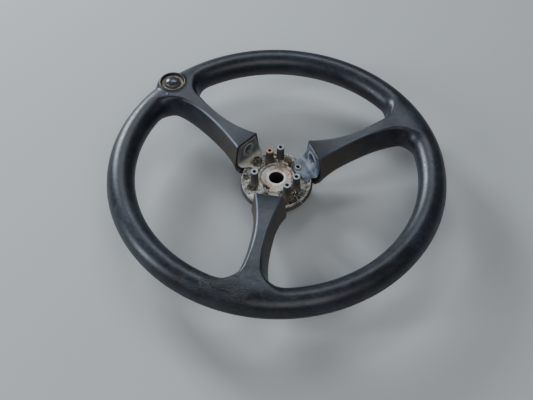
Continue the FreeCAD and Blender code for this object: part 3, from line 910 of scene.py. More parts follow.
@dataclass(frozen=True)
class SpokeForm:
    """The outline of a spoke, as half widths and heights along its reach, mm."""

    start: float = 49.5
    top_waist: float = 5.6
    top_hub: float = 16.6
    top_rim: float = 13.0
    top_waist_at: float = 113.0
    belly_waist: float = 13.2
    belly_hub: float = 21.6
    belly_waist_at: float = 98.0
    belly_flare: float = 5.0
    top_end: float = 160.0
    belly_end: float = 150.0
    valley: float = 75.0
    valley_crown: float = 10.5
    hub_rise: float = 2.0
    rim_rise: float = 5.8
    belly_depth: float = 7.5
    belly_fall: float = 17.5
    keel_depth: float = 13.5
    keel_fall: float = 20.5
    fall_power: float = 1.8
    flank: tuple[float, float] = (0.60, 0.52)
    tuck: tuple[float, float] = (0.84, 0.72)
    belly_swell: float = 1.02
    keel_width: float = 0.42

    def top(self, reach: float) -> float:
        """Half width of the top face.

        Args:
            reach: Distance from the wheel's axis.

        Returns:
            The half width, mm.
        """
        if reach < self.top_waist_at:
            share = (self.top_waist_at - reach) / (self.top_waist_at - self.start)
            return self.top_waist + (self.top_hub - self.top_waist) * share ** 2
        share = (reach - self.top_waist_at) / (self.top_end - self.top_waist_at)
        return self.top_waist + (self.top_rim - self.top_waist) * share ** 2

    def belly(self, reach: float) -> float:
        """Half width at the widest.

        Args:
            reach: Distance from the wheel's axis.

        Returns:
            The half width, mm.
        """
        if reach < self.belly_waist_at:
            share = (self.belly_waist_at - reach) / (self.belly_waist_at - self.start)
            return self.belly_waist + (self.belly_hub - self.belly_waist) * share ** 3
        share = (reach - self.belly_waist_at) / (self.belly_end - self.belly_waist_at)
        return self.belly_waist + self.belly_flare * share ** 3

    def crown(self, reach: float) -> float:
        """Height of the top face over the rim's plane.

        Args:
            reach: Distance from the wheel's axis.

        Returns:
            The height, mm.
        """
        if reach < self.valley:
            share = (self.valley - reach) / (self.valley - self.start)
            return self.valley_crown + self.hub_rise * share ** 2
        turn = math.radians(90) * min(1, (reach - self.valley) / self.valley)
        return self.valley_crown + self.rim_rise * math.sin(turn) ** 2

    def fall(self, reach: float) -> float:
        """Share of the underside's fall from the rim to the hub."""
        return ((RIM - reach) / (RIM - self.start)) ** self.fall_power

    def point(self, reach: float, across: float, row: int) -> tuple[float, float]:
        """A point of the section.

        Args:
            reach: Distance from the wheel's axis.
            across: From -1 to 1, side to side.
            row: 0 at the top face, 2 at the belly, 4 at the keel.

        Returns:
            (sideways, height) in mm, height over the rim's plane.
        """
        top, belly, crown = self.top(reach), self.belly(reach), self.crown(reach)
        middle = -self.belly_depth - self.belly_fall * self.fall(reach)
        keel = -self.keel_depth - self.keel_fall * self.fall(reach)
        rows = [
            (top, crown),
            (top + (belly - top) * self.flank[0], crown + (middle - crown) * self.flank[1]),
            (belly * self.belly_swell, middle),
            (belly * self.tuck[0], middle + (keel - middle) * self.tuck[1]),
            (belly * self.keel_width, keel),
        ]
        width, height = rows[row]
        return across * width, height


@dataclass
class MouldedRim:
    """The soft moulding: rim and spokes grown from one cage, the bowl turned and joined on, and the
    knob's boss.
    """

    segments: int = 90
    sides: int = 8
    half_patch: int = 3
    form: SpokeForm = SpokeForm()
    stations: tuple[float, ...] = (160, 149.5, 137.5, 124.5, 111, 97, 83, 70, 59, 51.4, 49.5)
    ridge_crease: float = 0.38
    end_crease: float = 0.52
    # Strength of the painted highlight on each spoke's right and left ridge, by side.
    ridge_highlight: tuple[tuple[Side, float, float], ...] = (
        (Side.LEFT, 0.15, 1.0), (Side.LOWER, 1.0, 0.2), (Side.RIGHT, 0.3, 0.4))
    highlight_end: float = 150.0
    highlight_fade: float = 45.0
    highlight_width: float = 1.15
    foot_reach: float = 6.8
    pip: tuple[float, float] = (172.6, 152.2)
    lip_top: float = KNOB_TOP + 2.8
    recess: float = 14.4
    boss_radius: float = 16.6
    boss_flank: float = 9.0
    boss_rise: float = 15.5
    boss_reach: float = 32.0
    boss_blend: float = 1.2

    @property
    def step(self) -> float:
        """Angle of one segment, degrees."""
        return 360 / self.segments

    def ring(self) -> bpy.types.Object:
        """The rim's cage, wider than its surface because subdivision draws it in.

        Returns:
            The cage, with a column of corners on each spoke's middle line.
        """
        shrink = (2 + math.cos(2 * math.pi / self.sides)) / 3
        settle()
        bpy.ops.mesh.primitive_torus_add(
            major_segments=self.segments, minor_segments=self.sides, major_radius=RIM * MM,
            minor_radius=TUBE * MM / shrink, location=(0, 0, PLANE * MM),
            rotation=(0, 0, math.radians(self.step / 2)))
        return settle_place(bpy.context.object)

    def grid_spot(self, point: Vector, side: Side) -> tuple[int, int]:
        """Find the column and row of a cage corner on the rim, counted from a spoke's crown.

        Args:
            point: The corner, in metres.
            side: The spoke.

        Returns:
            (column, row): 0, 0 is the rim's crown on the spoke's middle line.
        """
        turn = math.degrees(math.atan2(point.y, point.x)) - side.value
        column = round(((turn + 180) % 360 - 180) / self.step)
        out = math.hypot(point.x, point.y) - RIM * MM
        row = (math.degrees(math.atan2(point.z - PLANE * MM, out)) - 90) % 360 / (360 / self.sides)
        return column, round(row) % self.sides

    def grow_spoke(self, rim: bpy.types.Object, side: Side) -> None:
        """Extrude a patch of the rim's inside to the hub, section by section.

        Args:
            rim: The cage.
            side: The spoke to grow.
        """
        heading = polar(1, side.value)
        sideways = UP.cross(heading)
        half = self.half_patch

        def in_patch(face: bmesh.types.BMFace) -> bool:
            """Whether a face of the rim lies in the patch.

            Args:
                face: A face of the cage.

            Returns:
                True in the patch.
            """
            spots = [self.grid_spot(corner.co, side) for corner in face.verts]
            on_rim = all(abs(math.hypot(corner.co.x, corner.co.y) / MM - RIM) < TUBE * 1.3
                         for corner in face.verts)
            return on_rim and all(abs(u) <= half and v <= 4 for u, v in spots)

        with editing(rim):
            select_faces(rim, in_patch)
            cage = fresh(rim)
            spots = {self.key(v.co): self.grid_spot(v.co, side) for v in cage.verts if v.select}
            for number, reach in enumerate(self.stations):
                bpy.ops.mesh.extrude_region_move(TRANSFORM_OT_translate={"value": (0, 0, 0)})
                cage = fresh(rim)
                crease = cage.edges.layers.float.get("crease_edge")
                crease = crease or cage.edges.layers.float.new("crease_edge")
                moved = {}
                corners = {}
                for corner in [v for v in cage.verts if v.select]:
                    column, row = spots[self.key(corner.co)]
                    across, height = self.form.point(reach, column / half, row)
                    corner.co = (heading * reach + sideways * across + UP * (PLANE + height)) * MM
                    moved[self.key(corner.co)] = (column, row)
                    corners[corner] = (column, row)
                self.crease_station(corners, crease, number)
                spots = moved
                bmesh.update_edit_mesh(rim.data)
            below = (PLANE - self.form.belly_depth - self.form.belly_fall) * MM
            at_end = self.form.start * MM
            select_faces(rim, lambda face: all(v.co.z < below + 1e-5 for v in face.verts)
                         and all(abs(v.co.dot(heading) - at_end) < 1e-5 for v in face.verts))
            bpy.ops.mesh.extrude_region_move(TRANSFORM_OT_translate={
                "value": heading * -self.foot_reach * MM})

    @staticmethod
    def key(point: Vector) -> tuple[float, float, float]:
        """A rounded place that names a cage corner."""
        return round(point.x, 6), round(point.y, 6), round(point.z, 6)

    def crease_station(self, corners: dict, crease: object, number: int) -> None:
        """Sharpen the two ridges along the top face, and the end face's border.

        Args:
            corners: Column and row of each corner of the station.
            crease: The cage's crease layer.
            number: The station's number, from the rim.
        """
        half = self.half_patch
        last = number == len(self.stations) - 1
        for corner, (column, row) in corners.items():
            for edge in corner.link_edges:
                other = edge.other_vert(corner)
                if abs(column) == half and row == 0 and other not in corners and number >= 2:
                    edge[crease] = self.ridge_crease * min(1, (number - 1) / 3)
                if last and other in corners:
                    spot = corners[other]
                    on_side = abs(column) == half and abs(spot[0]) == half and column == spot[0]
                    on_row = row in (0, 4) and spot[1] == row
                    if on_side or on_row:
                        edge[crease] = self.end_crease

    def paint_ridge_highlights(self, rim: bpy.types.Object) -> None:
        """Paint highlights along the spokes' top ridges, stronger on the edges turned towards the
        left-hand lights.

        Args:
            rim: The subdivided moulding.
        """
        marks = rim.data.attributes.new("hollow", "FLOAT", "POINT")
        for side, right, left in self.ridge_highlight:
            heading = polar(1, side.value)
            sideways = UP.cross(heading)
            for vertex, mark in zip(rim.data.vertices, marks.data):
                place = vertex.co / MM
                reach, across = place.dot(heading), place.dot(sideways)
                on_spoke = self.form.start - 1 < reach < self.highlight_end and abs(across) <= 24
                if not on_spoke:
                    continue
                off = math.hypot(abs(across) - self.form.top(reach) * 0.97,
                                 place.z - PLANE - self.form.crown(reach) + 0.3)
                fade = ease((self.highlight_end - reach) / self.highlight_fade)
                fade *= left if across > 0 else right
                mark.value = min(mark.value, -fade * math.exp(-(off / self.highlight_width) ** 2))

    def raise_boss(self, rim: bpy.types.Object) -> None:
        """Swell the rim's top round the knob socket into a boss with drafted flanks.

        Args:
            rim: The subdivided moulding.
        """
        centre = Vector((KNOB_PLACE.x, KNOB_PLACE.y, 0))
        for vertex in rim.data.vertices:
            place = vertex.co / MM
            height = place.z - PLANE
            reach = (place.xy - centre.xy).length
            if height < -2 or reach > self.boss_reach:
                continue
            slope = ease((reach - self.boss_radius) / self.boss_flank)
            gap = self.lip_top - 0.6 - PLANE - self.boss_rise * slope - height
            lift = 0.5 * (gap + math.sqrt(gap * gap + self.boss_blend)) - 0.12
            vertex.co.z += max(0.0, lift) * ease((height + 2) / 5) * MM

    def bowl(self) -> bpy.types.Object:
        """The hub bowl that carries the plate.

        Returns:
            The bowl.
        """
        lip = PLATE_TOP - 1.5
        bore, floor, wall = 16.1, 21.9, PLATE + 0.15
        profile = [(bore, floor), (wall, floor), (wall, lip), (PLATE + 1.7, lip),
                   (PLATE + 2.0, lip - 1.2), (PLATE + 1.8, floor - 0.4), (42.0, 18.6), (37.4, 12.6),
                   (32.4, 6.6), (28.6, 2.8), (27.4, 2), (bore, 2)]
        item = turned("bowl", profile, steps=96)
        rounded(item, 0.7, 2, 20)
        return item

    def boss_lip(self) -> bpy.types.Object:
        """The rounded lip round the socket's recess.

        Returns:
            The lip.
        """
        top, foot, wall = self.lip_top, KNOB_TOP - 5.9, self.recess
        profile = [(wall, foot), (wall, top - 0.6), (wall + 0.6, top), (wall + 1.7, top),
                   (wall + 2.7, top - 0.6), (wall + 3.3, top - 2.0), (wall + 3.6, foot)]
        item = turned("boss_lip", profile, KNOB_PLACE, 80)
        rounded(item, 0.35, 2, 20)
        return item

    def details(self, rim: bpy.types.Object) -> list[bpy.types.Object]:
        """The moulding pip beside the boss, and the parting line round the rim.

        Args:
            rim: The moulding that the pip stands on.

        Returns:
            The pip and the line.
        """
        above = polar(*self.pip, PLANE + 60) * MM
        _, spot, _, _ = rim.ray_cast(above, -UP)
        settle()
        bpy.ops.mesh.primitive_uv_sphere_add(segments=24, ring_count=16, radius=1.9 * MM,
                                             location=spot - UP * 0.5 * MM)
        pip = settle_place(bpy.context.object)
        # A painted highlight on the pip, so that it reads lighter than the shaded flank of the
        # boss.
        rubbed = pip.data.attributes.new("hollow", "FLOAT", "POINT")
        for mark in rubbed.data:
            mark.value = -0.7
        settle()
        bpy.ops.mesh.primitive_torus_add(major_segments=216, minor_segments=6,
                                         major_radius=(RIM + TUBE - 0.22) * MM,
                                         minor_radius=0.3 * MM,
                                         location=(0, 0, PLANE * MM))
        line = settle_place(bpy.context.object)
        return [pip, line]

    def build(self) -> None:
        """Make the whole moulding."""
        rim = self.ring()
        for side in Side:
            self.grow_spoke(rim, side)
        apply_modifier(rim, "SUBSURF", levels=3, render_levels=3)
        self.paint_ridge_highlights(rim)
        self.raise_boss(rim)
        floor, wall, above = KNOB_TOP - 8, self.recess + 0.8, 85
        well = turned("well", [(0, floor), (wall, floor), (wall, above), (0, above)],
                      KNOB_PLACE, 96)
        boolean(rim, well)
        radius, under, over = 7.95, 20, 38.5
        access = turned("access", [(0, under), (radius, under), (radius, over), (0, over)],
                        KNOB_PLACE, 48)
        boolean(rim, access)
        rim = join([rim, self.bowl(), self.boss_lip(), *self.details(rim)])
        smooth(rim, 50)
        hand_over(rim, "moulded_rim", Finish.FOAM, WHEEL, ["rim_moulding"])


# ---------------------------------------------------------------- the armature


@dataclass
class Arm:
    """One steel arm: a tongue on the plate that turns up into a dished shield."""

    side: Side
    finish: Finish
    sheet: float = 0
    dish_low: float = 38.5
    dish_top: float = 55.2
    dish_wide: float = 6.8
    dish_depth: float = 2.3
    # Strength of the painted shade in the dish.
    dish_shade: float = 0.4
    inner: float = 24.6
    bend: float = 44.6
    wall: float = 47.6
    tongue: float = 8.8
    foot: float = 19.0
    head: float = 13.6
    top: float = SHIELD_TOP - 0.4
    corner: float = 1.7
    thickness: float = 1.7
    eye_hole: float = 3.1

    def path(self, share: float) -> tuple[float, float, float]:
        """The arm's middle line, from the tongue's end to the shield's top.

        Args:
            share: How far along, from 0 to 1.

        Returns:
            Reach, height and half width in mm.
        """
        run = self.bend - self.inner
        rise = self.top - DECK
        along = share * (run + rise)
        if along < run:
            grow = ease((along - 7.5) / (run - 7.5))
            width = self.tongue + (self.foot - self.tongue) * grow
            width = max(width, self.tongue + (self.sheet - self.tongue) * ease((along - 3.4) / 1.2))
            sag = 0.9 * ease((along - 10) / (run - 10))
            lift = 2.6 * max(0.0, (along - run + 5) / 5) ** 2
            return self.inner + along, DECK - sag + lift, width
        climb = (along - run) / rise
        height = DECK + self.corner + (self.top - DECK - self.corner) * climb
        reach = self.bend + (self.wall - self.bend) * (1 - (1 - climb) ** 4)
        return reach, height, self.foot + (self.head - self.foot) * climb

    def press(self, across: float, height: float) -> tuple[float, float]:
        """The pressed dish with its raised rim, at a place on the shield.

        Args:
            across: Place across the shield, mm.
            height: Height, mm.

        Returns:
            Depth in mm, and the painted light: painted shade up to 1 on the dish's floor, darker
                low down, and a painted highlight down to -1 on its raised rim.
        """
        middle = (self.dish_top + self.dish_low) / 2
        tall = (self.dish_top - self.dish_low) / 2
        rise = (height - middle) / tall
        reach = math.hypot(across / self.dish_wide, rise)
        floor = 1 - ease((reach - 0.40) / 0.5)
        bead = math.exp(-((reach - 1.03) / 0.16) ** 2) * (0.45 + 0.55 * ease(rise + 0.7))
        # The painted shade is stronger on the dish's lower half.
        shade = 1 - 0.55 * ease(rise)
        return self.dish_depth * floor - bead, floor * shade * self.dish_shade - bead * 0.85

    def build(self) -> None:
        """Make the arm from a grid, pierce it for the eyelet, and give it its thickness."""
        settle()
        bpy.ops.mesh.primitive_grid_add(x_subdivisions=110, y_subdivisions=76, size=1)
        item = bpy.context.object
        # The attribute carries painted shade in the dish and a painted highlight on its raised rim.
        marks = item.data.attributes.new("hollow", "FLOAT", "POINT")
        for vertex, mark in zip(item.data.vertices, marks.data):
            share = vertex.co.x + 0.5
            across = vertex.co.y * 2
            reach, height, width = self.path(share)
            side = across * width
            if share < 0.05:
                side *= 1 - 0.3 * (1 - share / 0.05) ** 2
            on_wall = ease((height - PLATE_TOP - 6) / 5)
            wave = 0.25 * noise.noise(Vector((reach, side, height)) * 0.11)
            rolled = 2.6 * max(0.0, abs(across) - 0.82) / 0.18
            depth, mark.value = self.press(side, height)
            reach += depth + rolled * on_wall * 0.5 + wave * on_wall
            height -= rolled * (1 - on_wall) * 0.7 - wave * (1 - on_wall)
            vertex.co = Vector((reach, side, height)) * MM
        if self.side is Side.RIGHT:
            eye = (Matrix.Rotation(math.radians(-self.side.value), 3, "Z") @ EYE).xy
            with editing(item):
                select_faces(item, lambda face: (face.calc_center_median().xy / MM - eye).length
                             < self.eye_hole)
                bpy.ops.mesh.delete(type="FACE")
        apply_modifier(item, "SOLIDIFY", thickness=self.thickness * MM, offset=-1.0,
                       use_even_offset=True)
        turn_about_axis(item, self.side.value)
        smooth(item, 50)
        hand_over(item, f"{self.side.node}_pressed", self.finish, WHEEL,
                  [self.side.node])


@dataclass
class Welds:
    """Lumpy weld beads along the arms' tongues."""

    start: float = 30.4
    edge: float = 9.3
    length: float = 8.0
    sheet_edge: float = 17.4
    sheet_length: float = 5.0
    drops: int = 7

    def build(self) -> None:
        """Stamp each bead from squashed drops, along the arms' sides."""
        settle()
        bpy.ops.mesh.primitive_uv_sphere_add(segments=16, ring_count=10, radius=MM)
        drop = bpy.context.object
        beads = []
        for side in Side:
            wide = side is Side.RIGHT
            edge = self.sheet_edge if wide else self.edge
            length = self.sheet_length if wide else self.length
            for sign in (1, -1):
                for number in range(self.drops):
                    reach = self.start + length * number / (self.drops - 1)
                    wobble = noise.noise(Vector((reach, sign * 3.0, side.value)))
                    scale = Vector((1.4 + wobble * 0.4, 1.4, 1.2 + wobble * 0.5))
                    place = Vector((reach, sign * (edge + wobble * 0.4), PLATE_TOP + 0.5))
                    beads.append(turn_about_axis(stamp(drop, place, scale), side.value))
        bpy.data.objects.remove(drop)
        item = join(beads)
        smooth(item, 60)
        hand_over(item, "weld_beads", Finish.WELD, WHEEL, ["arm_welds"])


# Direction in degrees, reach and radius in mm of the two overlapping pin holes.
PIN_HOLES = ((236.0, 19.0, 2.9), (249.5, 19.3, 2.6))


@dataclass
class HubCasting:
    """The cast plate with its raised edge, seat ring, sector groove and fixing holes."""

    lip: float = 1.7
    bore: float = 16.05
    seat: float = 19.2
    seat_floor: float = 26.0
    groove_inside: float = 34.4
    groove_outside: float = 39.7
    groove_depth: float = 3.0
    groove_from: float = 289
    groove_sweep: float = 58
    # Strength of the painted shade on the groove's floor.
    groove_shade: float = 0.8
    holes: tuple[tuple[float, float, float], ...] = (
        *PIN_HOLES, (171, 39.0, 1.3), (187, 35.5, 0.9), (189.5, 35.8, 0.9), (198, 37.0, 0.8))

    def build(self) -> None:
        """Make the plate."""
        top = PLATE_TOP
        ring_top = Frame.top("hub_plate")
        under = Frame.bottom("hub_plate")
        seat, floor = self.seat, self.seat_floor
        profile = [(self.bore, under), (PLATE, under), (PLATE, top + self.lip),
                   (PLATE - 0.9, top + self.lip), (PLATE - self.lip, top + 0.2), (30, top),
                   (24.6, top + 0.3), (22.9, ring_top - 1.6), (22.2, ring_top),
                   (seat + 0.3, ring_top), (seat, ring_top - 0.6), (seat, floor),
                   (self.bore, floor)]
        item = turned("casting", profile, steps=160)
        inside, outside = self.groove_inside, self.groove_outside
        low, high = top - self.groove_depth, top + 5
        groove = turned("groove", [(inside, low), (outside, low), (outside, high), (inside, high)],
                        steps=40, sweep=self.groove_sweep, start=self.groove_from)
        boolean(item, groove)
        for direction, reach, radius in self.holes:
            hole = turned("hole", [(0, top - 2.2), (radius, top - 2.2), (radius, ring_top + 3),
                                   (0, ring_top + 3)], polar(reach, direction), 24)
            boolean(item, hole)
        rounded(item, 0.28, 2, 40)
        # Painted shade, almost black, on the walls of the holes and on the groove's floor.
        for direction, reach, radius in self.holes:
            deck = ring_top if reach < 22 else top
            paint_hole_shade(item, polar(reach, direction), radius + 0.05, deck - 0.2)
        for vertex, mark in zip(item.data.vertices, item.data.attributes["hollow"].data):
            reach = vertex.co.xy.length / MM
            if vertex.co.z < (top - 0.5) * MM and inside - 0.1 < reach < outside + 0.1:
                mark.value = max(mark.value, self.groove_shade)
        smooth(item, 40)
        hand_over(item, "hub_casting", Finish.CASTING, WHEEL, ["hub_plate"])


@dataclass
class HubInsert:
    """The steel insert with its serrated bore."""

    teeth: int = 36
    root: float = 9.4
    tip: float = 8.5

    def star(self, low: float, high: float) -> bpy.types.Object:
        """A star-shaped cutter for the serrations.

        Args:
            low: Its underside, mm.
            high: Its top, mm.

        Returns:
            The cutter.
        """
        settle()
        bpy.ops.mesh.primitive_cylinder_add(vertices=self.teeth * 2, radius=self.root * MM,
                                            depth=(high - low) * MM,
                                            location=(0, 0, (low + high) / 2 * MM))
        item = settle_place(bpy.context.object)
        for vertex in item.data.vertices:
            step = math.degrees(math.atan2(vertex.co.y, vertex.co.x)) / (360 / (self.teeth * 2))
            if round(step) % 2:
                vertex.co.x *= self.tip / self.root
                vertex.co.y *= self.tip / self.root
        return item

    def build(self) -> None:
        """Make the insert."""
        top = INSERT_TOP
        profile = [(9.5, 0.4), (9.9, 0), (15.6, 0), (16, 0.5), (16, 26), (18.2, 26), (18.75, 26.6),
                   (18.75, top - 0.7), (18.1, top - 0.05), (13.4, top), (13.1, top - 0.22),
                   (9.4, top - 0.22), (8.75, top - 0.9), (8.75, 24.2), (8.46, 24.2), (8.46, 9.9),
                   (9.5, 9.9)]
        item = turned("insert", profile, steps=144)
        boolean(item, self.star(9.0, 24.0))
        # Each pin hole and the serrated bore get painted shade on their walls.
        for direction, reach, radius in PIN_HOLES:
            boolean(item, turned("hole", [(0, 25), (radius, 25), (radius, top + 1), (0, top + 1)],
                                 polar(reach, direction), 24))
            paint_hole_shade(item, polar(reach, direction), radius + 0.05, top - 0.9)
        paint_hole_shade(item, AXIS, 10.0, top - 0.6)
        smooth(item, 30)
        hand_over(item, "serrated_insert", Finish.INSERT, WHEEL, ["hub_insert"])


@dataclass
class PadPosts:
    """Five posts for the missing centre pad, each with a flanged sleeve in its top."""

    radius: float = 4.55
    post_turn: float = 67
    sleeve_turn: float = 41
    names: tuple[str, ...] = ("one", "two", "three", "four", "five")
    rusty: str = "one"

    def build(self) -> None:
        """Make one post and one sleeve, and stamp them at each place."""
        post, sleeve = self.post(), self.sleeve()
        low = Frame.top("pad_post_one")
        for number, name in enumerate(self.names):
            node = f"pad_post_{name}"
            place = Frame.middle(node)
            rise = Frame.top(node) - low
            item = stamp(post, Vector((place.x, place.y, 0)), None, number * self.post_turn)
            for vertex in item.data.vertices:
                if vertex.co.z > (PLATE_TOP + 8) * MM:
                    vertex.co.z += rise * MM
            smooth(item, 40)
            hand_over(item, f"{node}_moulded", Finish.POST, WHEEL, [node])
            node = f"post_sleeve_{name}"
            item = stamp(sleeve, Vector((place.x, place.y, rise)), None,
                         number * self.sleeve_turn)
            # Painted shade on the wall of the sleeve's hole.
            paint_hole_shade(item, place, 2.0, Frame.top(node) - 0.9)
            smooth(item, 40)
            finish, slot = ((Finish.RUSTY_SLEEVE, "rusty_sleeve") if name == self.rusty
                            else (Finish.SLEEVE, "sleeve_steel"))
            hand_over(item, f"{node}_turned", finish, WHEEL, [node])
        bpy.data.objects.remove(post)
        bpy.data.objects.remove(sleeve)

    def post(self) -> bpy.types.Object:
        """The shorter post, on the axis, with four shallow ribs at its foot.

        Returns:
            The post.
        """
        top = Frame.top("pad_post_one")
        foot = PLATE_TOP
        profile = [(0, foot - 4), (2.5, foot - 4), (2.5, foot), (6.2, foot), (5.5, foot + 0.8),
                   (4.9, foot + 2.2), (4.75, foot + 4), (4.4, top - 2.2), (self.radius, top - 1.9),
                   (self.radius, top), (2.9, top), (2.9, top - 12), (0, top - 12)]
        item = turned("post", profile, steps=64)
        for vertex in item.data.vertices:
            spot = vertex.co / MM
            if foot - 0.1 < spot.z < foot + 4.5 and spot.xy.length > 4.0:
                turn = math.atan2(spot.y, spot.x)
                swell = 1 + 0.10 * max(0.0, math.cos(4 * turn)) ** 3
                vertex.co.x *= swell
                vertex.co.y *= swell
        return item

    def sleeve(self) -> bpy.types.Object:
        """The sleeve: a barrel, a flange with a rounded edge, and a countersunk hole.

        Returns:
            The sleeve, on the wheel's axis.
        """
        top = Frame.top("post_sleeve_one")
        low = Frame.bottom("post_sleeve_one")
        profile = [(1.9, low), (2.9, low), (2.9, top - 1), (4.5, top - 1), (4.55, top - 0.35),
                   (4.2, top), (2.5, top), (1.95, top - 0.6), (1.9, top - 1.2)]
        return turned("sleeve", profile, steps=64)


@dataclass
class LeadEyelet:
    """The rolled collar of the horn lead's eyelet."""

    def build(self) -> None:
        """Make the eyelet."""
        top = Frame.top("lead_eyelet")
        low = Frame.bottom("lead_eyelet")
        seat = DECK
        profile = [(2.1, low), (3, low), (3, seat), (4.2, seat), (4.3, seat + 0.9),
                   (3.9, top - 0.2), (3.2, top), (2.5, top - 0.2), (2.1, top - 0.9)]
        item = turned("eyelet", profile, Frame.middle("lead_eyelet"), 64)
        # Painted shade on the wall of the eyelet's hole.
        paint_hole_shade(item, Frame.middle("lead_eyelet"), 2.3, top - 0.5)
        smooth(item, 50)
        hand_over(item, "rolled_eyelet", Finish.SLEEVE, WHEEL, ["lead_eyelet"])


@dataclass
class HornContact:
    """The grooved contact block and its brass blade."""

    direction: float = 70
    ribs: int = 6
    near: float = 24
    far: float = 31
    half: float = 4.5

    def build(self) -> None:
        """Make the block and the blade."""
        base, top = Frame.bottom("contact_block"), Frame.top("contact_block")
        near, far, half = self.near, self.far, self.half
        parts = [block("core", Vector((near, -half, base)), Vector((far, half, top - 1.7)))]
        pitch = 2 * half / self.ribs
        for number in range(self.ribs):
            side = pitch * number - half
            parts.append(block("rib", Vector((near, side, base + 1)),
                               Vector((far, side + pitch * 0.6, top))))
        item = join(parts)
        rounded(item, 0.22, 2, 40)
        turn_about_axis(item, self.direction)
        smooth(item, 40)
        hand_over(item, "ribbed_block", Finish.BLOCK, WHEEL, ["contact_block"])
        self.blade()

    def blade(self) -> None:
        """Make the bent brass blade with its two holes."""
        low, high = Frame.bottom("contact_blade"), Frame.top("contact_blade")
        item = block("blade", Vector((20.8, -4, low)), Vector((21.6, 4, high)))
        foot = block("foot", Vector((20.8, -4, low)), Vector((23.4, 4, low + 0.7)))
        item = join([item, foot])
        for side in (-1.7, 1.7):
            settle()
            bpy.ops.mesh.primitive_cylinder_add(vertices=24, radius=0.95 * MM, depth=6 * MM,
                                                location=(21.2 * MM, side * MM, (low + 2.7) * MM),
                                                rotation=(0, math.pi / 2, 0))
            boolean(item, settle_place(bpy.context.object))
        rounded(item, 0.15, 2, 40)
        turn_about_axis(item, self.direction)
        smooth(item, 40)
        hand_over(item, "brass_blade", Finish.BRASS, WHEEL, ["contact_blade"])


@dataclass
class KnobGroup:
    """The socket in the rim, its bush and cap, and the turning spindle with its circlip."""

    def build(self) -> None:
        """Make the knob's pieces."""
        place = KNOB_PLACE
        low, top = Frame.bottom("knob_socket"), Frame.top("knob_socket")
        floor = top - 3
        socket = turned("socket", [
            (6.5, low), (11, low), (11, top - 5.5), (13.6, top - 5.5), (14, top - 5),
            (14, top - 0.5), (13.5, top), (10.8, top), (10.3, top - 0.4), (10.1, top - 1),
            (10.1, floor), (6.5, floor)], place, 96)
        smooth(socket, 35)
        hand_over(socket, "dusty_socket", Finish.SOCKET, WHEEL, ["knob_socket"])
        bush = turned("bush", [
            (5.04, low), (6.5, low), (6.5, floor), (9.2, floor), (9.4, floor + 0.3),
            (9.4, floor + 0.8), (5.3, floor + 0.8), (5.04, floor + 0.5)], place, 72)
        smooth(bush, 35)
        hand_over(bush, "bronze_bush", Finish.BRONZE, WHEEL, ["knob_bush"])
        cap_low, cap_top = Frame.bottom("knob_dust_cap"), Frame.top("knob_dust_cap")
        cap = turned("cap", [(0, cap_low + 0.5), (3, cap_low + 0.5), (4.2, cap_low), (7.3, cap_low),
                             (7.9, cap_low + 0.6), (7.9, cap_top), (0, cap_top)], place, 64)
        smooth(cap, 40)
        hand_over(cap, "dust_cap", Finish.RUBBER, WHEEL, ["knob_dust_cap"])
        self.spindle(place)

    def spindle(self, place: Vector) -> None:
        """Make the spindle with its low dome, and the circlip in its groove.

        Args:
            place: The spindle's axis, mm.
        """
        low, top = Frame.bottom("knob_spindle"), Frame.top("knob_spindle")
        clip_low, clip_top = Frame.bottom("knob_circlip"), Frame.top("knob_circlip")
        under = Frame.top("knob_bush") + 0.2
        crown = top - 0.05
        edge = under + 2.6
        turns = [math.radians(degrees) for degrees in range(0, 90, 9)]
        dome = [(9.5 * math.cos(turn), edge + (crown - edge) * math.sin(turn)) for turn in turns]
        profile = [(0, low), (4.5, low), (5, low + 0.5), (5, clip_low), (4.2, clip_low),
                   (4.2, clip_top), (5, clip_top), (5, under), (9.2, under), (9.5, under + 0.3),
                   *dome, (0, crown)]
        item = turned("spindle", profile, place, 96)
        smooth(item, 40)
        hand_over(item, "domed_spindle", Finish.CAP, KNOB, ["knob_spindle"])
        floor, crown = clip_low + 0.02, clip_top - 0.02
        clip = turned("clip", [(4.25, floor), (7.2, floor), (7.2, crown), (4.25, crown)],
                      place, 60, 320, 20)
        rounded(clip, 0.1, 2, 40)
        smooth(clip, 40)
        hand_over(clip, "sprung_circlip", Finish.SPRING, KNOB, ["knob_circlip"])


